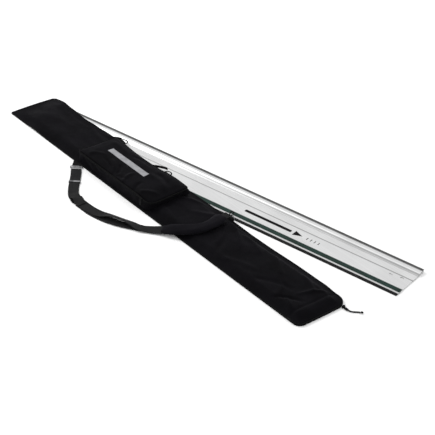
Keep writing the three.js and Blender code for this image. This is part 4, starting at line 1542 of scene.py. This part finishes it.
@dataclass
class ShoulderStrap:
    """Webbing, keeper, adjuster, the shaped shoulder pad and the snap hook.

    A route's points are in the bag's frame, and its fourth value is the band's tilt in degrees.
    """

    wardrobe: Wardrobe
    shape: BagShape
    width: float = 40.0
    thickness: float = 2.3
    squareness: float = 6.0
    pad_width: float = 57.0
    pad_thickness: float = 9.0
    end_route: Route = (
        (-1200.5, -31.0, 4.3, 0.0), (-1162.0, -61.4, 4.3, 0.0), (-1131.0, -88.3, 4.3, 0.0),
        (-1096.0, -118.6, 4.3, 0.0), (-1060.0, -144.0, 4.6, 6.0), (-1040.0, -150.0, 4.8, 6.0))
    fold_route: Route = (
        (-1066.0, -141.0, 6.9, 4.0), (-1050.0, -147.0, 9.4, 8.0), (-1029.0, -151.0, 11.6, -8.0),
        (-1008.0, -155.0, 9.6, 10.0), (-990.0, -156.0, 7.2, 4.0))
    under_route: Route = (
        (-1004.0, -156.0, 2.2, 0.0), (-979.0, -155.0, 2.0, 0.0), (-932.0, -153.0, 2.0, 0.0),
        (-878.0, -141.0, 2.2, 0.0), (-835.0, -124.0, 2.4, -4.0), (-802.0, -106.0, 2.4, -6.0),
        (-771.0, -84.0, 2.4, -4.0), (-750.0, -68.0, 2.8, 0.0))
    main_route: Route = (
        (-1034.0, -151.0, 4.9, 4.0), (-1010.0, -152.5, 4.6, 4.0), (-955.0, -149.0, 4.3, 0.0),
        (-908.0, -140.0, 5.8, -3.0), (-868.0, -120.0, 12.0, -22.0), (-828.0, -102.0, 14.0, -30.0),
        (-788.0, -87.0, 11.0, -20.0), (-753.0, -75.0, 6.0, -8.0), (-727.0, -54.0, 5.3, 0.0),
        (-702.0, -33.5, 8.6, 8.0), (-684.0, -19.0, 13.5, 12.0), (-660.0, -3.0, 20.5, 16.0))
    pad_route: Route = (
        (-694.0, -26.0, 12.0, 10.0), (-668.0, -8.0, 19.0, 20.0), (-637.0, 19.0, 27.0, 14.0),
        (-611.0, 52.0, 32.0, 4.0), (-598.0, 92.0, 33.5, 0.0), (-596.0, 130.0, 33.5, 0.0),
        (-601.0, 163.0, 33.2, 0.0), (-606.0, 192.0, 33.2, 0.0))
    hook_route: Route = (
        (-606.0, 190.0, 33.2, 0.0), (-606.0, 197.0, 33.2, 0.0), (-606.0, 203.6, 33.2, 0.0))
    bars: Route = ((-12.0, -9.0, 23.0), (-1.5, 1.5, 22.0), (9.0, 12.0, 23.0))
    frame: Route = ((-12.0, 12.0, -23.0, -20.0), (-12.0, 12.0, 20.0, 23.0))
    adjuster_at: tuple[float, float] = (-1029.0, -150.5)
    adjuster_levels: tuple[float, float] = (0.9, 8.6)
    adjuster_turn: float = math.radians(-14.0)

    def tilted(self, route: Route, steps: int) -> tuple[list[Vector], list[Vector]]:
        """A smooth path along a route, and its sides once they are tilted.

        Args:
            route: the route.
            steps: samples in each span.

        Returns:
            The path and the side at each of its points.
        """
        samples = curve_through(route, steps)
        path = [self.shape.place(*p[:3]) for p in samples]
        sides = []
        for p, side in zip(samples, flat_sides(path)):
            tilt = math.radians(p[3])
            sides.append(side * math.cos(tilt) + Vector((0.0, 0.0, math.sin(tilt))))
        return path, sides

    def band(self, name: str, route: Route, width: float, thickness: float, steps: int = 14
             ) -> bpy.types.Object:
        """A flat band of webbing along a route.

        Args:
            name: the piece's name.
            route: the route.
            width: its width.
            thickness: its thickness.
            steps: samples in each span.

        Returns:
            The band, which rides the bag.
        """
        section = bar_section(width * MM, thickness * MM, 20, self.squareness)
        band = sweep(name, *self.tilted(route, steps), lambda i: section)
        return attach(self.wardrobe.dress(band, Slot.WEBBING), "bag")

    def pad(self) -> bpy.types.Object:
        """The shoulder pad, blown up a little by simulation."""
        path, sides = self.tilted(self.pad_route, 8)
        last = len(path) - 1

        def section(i: int) -> list[tuple[float, float]]:
            """The pad's section at a point, narrower towards the ends."""
            taper = 0.72 + 0.28 * smooth_step(min(i, last - i) / 9.0)
            return bar_section(self.pad_width * MM * taper, self.pad_thickness * MM, 28, 3.4)

        pad = sweep("strap_pad", path, sides, section)
        swell(pad, 4.5 * MM, 4.0, 5.0 * MM)
        self.wardrobe.dress(pad, Slot.PAD)
        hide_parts("shoulder_pad")
        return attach(pad, "bag")

    def keeper(self, nodes: dict[str, bpy.types.Object]) -> None:
        """Dresses the metal fittings, whose solids keep their shape."""
        for node in ("strap_buckle", "anchor_ring"):
            self.wardrobe.dress(nodes[node], Slot.METAL)
        for node in ("snap_hook_eye", "snap_hook_stem", "snap_hook_bow", "snap_hook_gate"):
            self.wardrobe.dress(nodes[node], Slot.METAL, Shade.BLACKENED)

    def block(self, work: bmesh.types.BMesh, x0: float, x1: float, y0: float, y1: float) -> None:
        """Adds one bar of the adjuster.

        Args:
            work: the mesh it is added to.
            x0: its start along the adjuster.
            x1: its end along the adjuster.
            y0: its start across the adjuster.
            y1: its end across the adjuster.
        """
        (cx, cy), (low, high), turn = self.adjuster_at, self.adjuster_levels, self.adjuster_turn
        for vertex in bmesh.ops.create_cube(work, size=1.0)["verts"]:
            x = x0 + (vertex.co.x + 0.5) * (x1 - x0)
            y = y0 + (vertex.co.y + 0.5) * (y1 - y0)
            z = low + (vertex.co.z + 0.5) * (high - low)
            vertex.co = self.shape.place(cx + x * math.cos(turn) - y * math.sin(turn),
                                         cy + x * math.sin(turn) + y * math.cos(turn), z)

    def adjuster(self) -> bpy.types.Object:
        """The moulded strap adjuster: a frame with three bars."""
        work = bmesh.new()
        for x0, x1, half in self.bars:
            self.block(work, x0, x1, -half + 3.0, half - 3.0)
        for sides in self.frame:
            self.block(work, *sides)
        mesh = bpy.data.meshes.new("strap_slider")
        work.to_mesh(mesh)
        work.free()
        obj = bpy.data.objects.new("strap_slider", mesh)
        bpy.context.scene.collection.objects.link(obj)
        face_outwards(obj)
        soften(obj, 0.9 * MM)
        self.wardrobe.dress(obj, Slot.PLASTIC)
        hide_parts("strap_adjuster")
        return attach(obj, "bag")

    def build(self, nodes: dict[str, bpy.types.Object]) -> None:
        """Builds the strap.

        Args:
            nodes: the frame's nodes by name.
        """
        end = self.band("strap_end_webbing", self.end_route, self.width, self.thickness)
        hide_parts("strap_end_section")
        main_part = self.band("strap_main_webbing", self.main_route, self.width + 2.0, self.thickness)
        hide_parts("strap_main_section")
        self.band("strap_fold_webbing", self.fold_route, self.width - 2.0, self.thickness)
        self.band("strap_under_webbing", self.under_route, self.width, self.thickness)
        hook = self.band("strap_hook_webbing", self.hook_route, 30.0, 2.4, 6)
        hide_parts("strap_hook_section")
        self.wardrobe.dress(nodes["strap_anchor_tab"], Slot.WEBBING)
        self.pad()
        self.adjuster()
        self.keeper(nodes)
        log.info("strap built")


@dataclass(frozen=True)
class RingPlace:
    """A ring's place, how far it stands up, its body, its finish and its bar's width."""

    number: str
    x: float
    z: float
    tilt: float
    body: str
    slot: Slot
    thick: float


@dataclass
class RingStations:
    """The far edge's webbing tabs, D-rings and narrow webbing loops."""

    wardrobe: Wardrobe
    shape: BagShape
    places: tuple[RingPlace, ...] = (
        RingPlace("1", -1243.0, 16.5, 0.0, "d_ring_1", Slot.PLASTIC, 4.6),
        RingPlace("2", -975.0, 10.0, 0.0, "d_ring_2", Slot.PLASTIC, 4.6),
        RingPlace("3", -606.0, 10.0, math.pi / 2, "bag", Slot.METAL, 3.2))
    width: float = 34.0
    reach: float = 23.0
    wire: float = 3.2
    stand_off: float = 6.5
    loops: tuple[Route, ...] = (
        ((-1296.0, 203.0, 15.5), (-1278.0, 217.0, 17.0), (-1264.0, 228.0, 17.5), (-1261.0, 222.0, 17.5)),
        ((-1051.0, 205.0, 13.5), (-1028.0, 225.0, 14.0), (-1004.0, 240.0, 14.0), (-994.0, 241.0, 14.0)))

    def loop(self, name: str, route: Route) -> bpy.types.Object:
        """A narrow webbing loop that stands on its edge beside a ring.

        Args:
            name: the piece's name.
            route: its route in the bag's frame.

        Returns:
            The loop.
        """
        path = [self.shape.place(*p) for p in curve_through(route, 8)]
        loop = sweep(name, path, [Vector((0.0, 0.0, 1.0))] * len(path),
                     lambda i: bar_section(10.0 * MM, 2.6 * MM, 16, 4.0))
        return self.wardrobe.dress(loop, Slot.BINDING)

    def ring(self, place: RingPlace) -> bpy.types.Object:
        """A D-ring.

        Args:
            place: where it is and how it is made.

        Returns:
            The ring.
        """
        radius = self.width / 2 - self.wire / 2
        straight = self.reach - self.wire - radius
        outline = [Vector((-radius + 2 * radius * k / 8, 0.0, 0.0)) for k in range(9)]
        outline += [Vector((radius * math.cos(a), straight + radius * math.sin(a), 0.0))
                    for a in (math.pi * k / 24 for k in range(25))]
        turn = Matrix.Rotation(place.tilt, 3, "X")
        centre = self.shape.place(place.x, self.shape.straight_width(place.x) + self.stand_off, place.z)
        path = [centre + turn @ (p * MM) for p in outline]
        normal = turn @ Vector((0.0, 0.0, 1.0))
        ring = sweep("ring_wire_" + place.number, path, [normal] * len(path),
                     lambda i: bar_section(self.wire * MM, place.thick * MM, 12, 2.0), closed=True)
        return self.wardrobe.dress(ring, place.slot)

    def build(self, nodes: dict[str, bpy.types.Object]) -> None:
        """Builds the rings and the loops, and dresses the tabs.

        Args:
            nodes: the frame's nodes by name.
        """
        for place in self.places:
            ring = self.ring(place)
            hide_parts("d_ring_" + place.number)
            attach(ring, place.body)
            self.wardrobe.dress(nodes["ring_tab_" + place.number], Slot.BINDING)
        for k, route in enumerate(self.loops):
            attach(self.loop(f"ring_loop_{k + 1}", route), "bag")
        log.info("rings built")


@dataclass
class PullCord:
    """The limp cord on the main zip's puller, and its knot."""

    wardrobe: Wardrobe
    shape: BagShape
    diameter: float = 5.0 * MM
    route: Route = (
        (29.2, 200.6, 4.0), (31.4, 200.9, 4.0), (33.8, 201.6, 3.8), (36.2, 202.8, 3.5), (38.5, 204.4, 3.2),
        (40.7, 206.3, 2.9), (42.8, 208.5, 2.8), (44.8, 210.9, 2.7), (46.8, 213.4, 2.7), (48.8, 215.9, 2.7),
        (50.9, 218.3, 2.7), (53.1, 220.6, 2.8), (55.4, 222.7, 3.0), (57.8, 224.6, 3.2), (60.3, 226.2, 3.5),
    )
    knot_at: tuple[float, float, float] = (64.6, 228.6, 5.3)

    def knot(self) -> bpy.types.Object:
        """An overhand knot: a trefoil of the cord, pulled tight."""
        centre = self.shape.place(*self.knot_at)
        path = []
        for k in range(72):
            a = 2 * math.pi * k / 72
            path.append(centre + Vector((math.sin(a) + 2 * math.sin(2 * a),
                                         math.cos(a) - 2 * math.cos(2 * a), -math.sin(3 * a))) * 1.05 * MM)
        knot = sweep("cord_end_knot", path, [Vector((0.0, 0.0, 1.0))] * len(path),
                     lambda i: bar_section(3.9 * MM, 3.9 * MM, 10, 2.0), closed=True)
        return self.wardrobe.dress(knot, Slot.CORD)

    def build(self) -> None:
        path = [self.shape.place(*p) for p in self.route]
        fine = curve_through(path, 4)
        cord = sweep("zip_pull_cord", fine, [Vector((0.0, 0.0, 1.0))] * len(fine),
                     lambda i: bar_section(self.diameter, self.diameter, 12, 2.0))
        self.wardrobe.dress(cord, Slot.CORD)
        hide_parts("pull_cord")
        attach(cord, "main_zip_puller")
        knot = self.knot()
        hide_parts("pull_cord_knot")
        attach(knot, "main_zip_puller")
        length = sum((b - a).length for a, b in zip(fine, fine[1:]))
        tuple(path[0])
        [tuple(p) for p in fine]
        log.info("pull cord is %.1f mm long", length / MM)


@dataclass
class ZipPulls:
    """The sliders and pullers of the two zips."""

    wardrobe: Wardrobe
    shape: BagShape

    def rounded(self, name: str, node: str, width: float) -> bpy.types.Object:
        """A slider with rounded corners and edges, in the place of its frame node.

        Args:
            name: the piece's name.
            node: the frame node, which is named as its body.
            width: how wide its edges are rounded, in metres.

        Returns:
            The piece.
        """
        low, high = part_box(node)
        radius = min(2.0 * MM, (high.y - low.y) / 2.2)
        outline = rounded_outline(low.xy, high.xy, radius)
        obj = prism(name, outline, (low.z, high.z), lambda x, y, z: Vector((x, y, z)))
        soften(obj, width)
        self.wardrobe.dress(obj, Slot.PLASTIC)
        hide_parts(node)
        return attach(obj, node)

    def build(self, nodes: dict[str, bpy.types.Object]) -> None:
        """Builds the sliders and pullers.

        Args:
            nodes: the frame's nodes by name.
        """
        self.rounded("main_slider_body", "main_zip_slider", 0.8 * MM)
        self.rounded("pocket_slider_body", "pocket_zip_slider", 0.7 * MM)
        for node in ("main_zip_puller", "pocket_zip_puller"):
            self.wardrobe.dress(nodes[node], Slot.PLASTIC)
        for node in ("main_zip_stop_near", "main_zip_stop_far"):
            self.wardrobe.dress(nodes[node], Slot.METAL)
        log.info("zip pulls built")


@dataclass
class Studio:
    """The camera, the floor and the lights."""

    camera_at: tuple[float, float, float] = (3.50957, -3.06963, 3.03707)
    heading: tuple[float, float] = (-0.7372, 0.6757)
    pitch: float = math.radians(33.75)
    roll: float = math.radians(4.373)
    lens: float = 125.13

    def camera(self) -> None:
        """Places the camera."""
        flat = Vector((*self.heading, 0.0)).normalized()
        forward = flat * math.cos(self.pitch) - Vector((0.0, 0.0, math.sin(self.pitch)))
        right = forward.cross(Vector((0.0, 0.0, 1.0))).normalized()
        up = right.cross(forward)
        turned_right = right * math.cos(self.roll) + up * math.sin(self.roll)
        turned_up = up * math.cos(self.roll) - right * math.sin(self.roll)
        basis = Matrix((turned_right, turned_up, -forward)).transposed().to_4x4()
        data = bpy.data.cameras.new("camera")
        data.lens = self.lens
        data.sensor_width = 36.0
        data.clip_end = 50.0
        obj = bpy.data.objects.new("camera", data)
        obj.matrix_world = Matrix.Translation(self.camera_at) @ basis
        bpy.context.scene.collection.objects.link(obj)
        bpy.context.scene.camera = obj

    def floor(self) -> None:
        """Lays the floor."""
        half = 9.0
        corners = [(-half, -half, 0.0), (half, -half, 0.0), (half, half, 0.0), (-half, half, 0.0)]
        obj = mesh_object("floor", corners, [(0, 1, 2, 3)], smooth=False)
        obj.data.materials.append(StudioFloor().material())

    def light(self, name: str, at: Point, target: Point, size: float, power: float) -> None:
        """Adds a soft square light that faces a target.

        Args:
            name: its name.
            at: where it is.
            target: what it faces.
            size: its side.
            power: its power in watts.
        """
        data = bpy.data.lights.new(name, "AREA")
        data.size = size
        data.energy = power
        obj = bpy.data.objects.new(name, data)
        obj.location = at
        obj.rotation_euler = (Vector(target) - Vector(at)).to_track_quat("-Z", "Y").to_euler()
        bpy.context.scene.collection.objects.link(obj)

    def build(self) -> None:
        """Builds the floor and the lights."""
        self.floor()
        world = bpy.data.worlds.new("studio")
        world.use_nodes = True
        background = world.node_tree.nodes["Background"]
        background.inputs["Color"].default_value = (1.0, 1.0, 1.0, 1.0)
        background.inputs["Strength"].default_value = 0.92
        bpy.context.scene.world = world
        bpy.context.scene.view_settings.view_transform = "Standard"
        self.light("key_light", (-2.3, -0.7, 2.7), (-0.1, 0.0, 0.0), 1.4, 55.0)
        self.light("fill_light", (2.4, -2.0, 2.4), (0.0, 0.0, 0.0), 2.4, 6.0)
        log.info("studio built")


def bag_origin() -> Vector:
    """The bag frame's origin in the row frame, from where the frame's panels lie."""
    rim = BagShape().rim * MM
    low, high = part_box("bag_bottom_right")
    return Vector((high.x + rim, low.y - rim, 0.0))


def main() -> None:
    """Builds the scene around the frame."""
    logging.basicConfig(level=logging.INFO, format="%(name)s: %(message)s")
    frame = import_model()
    nodes = frame["nodes"]
    shape = BagShape(origin=bag_origin())
    wardrobe = Wardrobe()
    repeater = PathRepeater(wardrobe)
    studio = Studio()
    studio.camera()
    PullCord(wardrobe, shape).build()
    GuideRail(wardrobe, shape).build(nodes)
    BagBody(wardrobe, shape, repeater).build()
    Pocket(wardrobe, shape, repeater).build()
    ShoulderStrap(wardrobe, shape).build(nodes)
    RingStations(wardrobe, shape).build(nodes)
    ZipPulls(wardrobe, shape).build(nodes)
    studio.build()


if __name__ == "__main__":
    main()
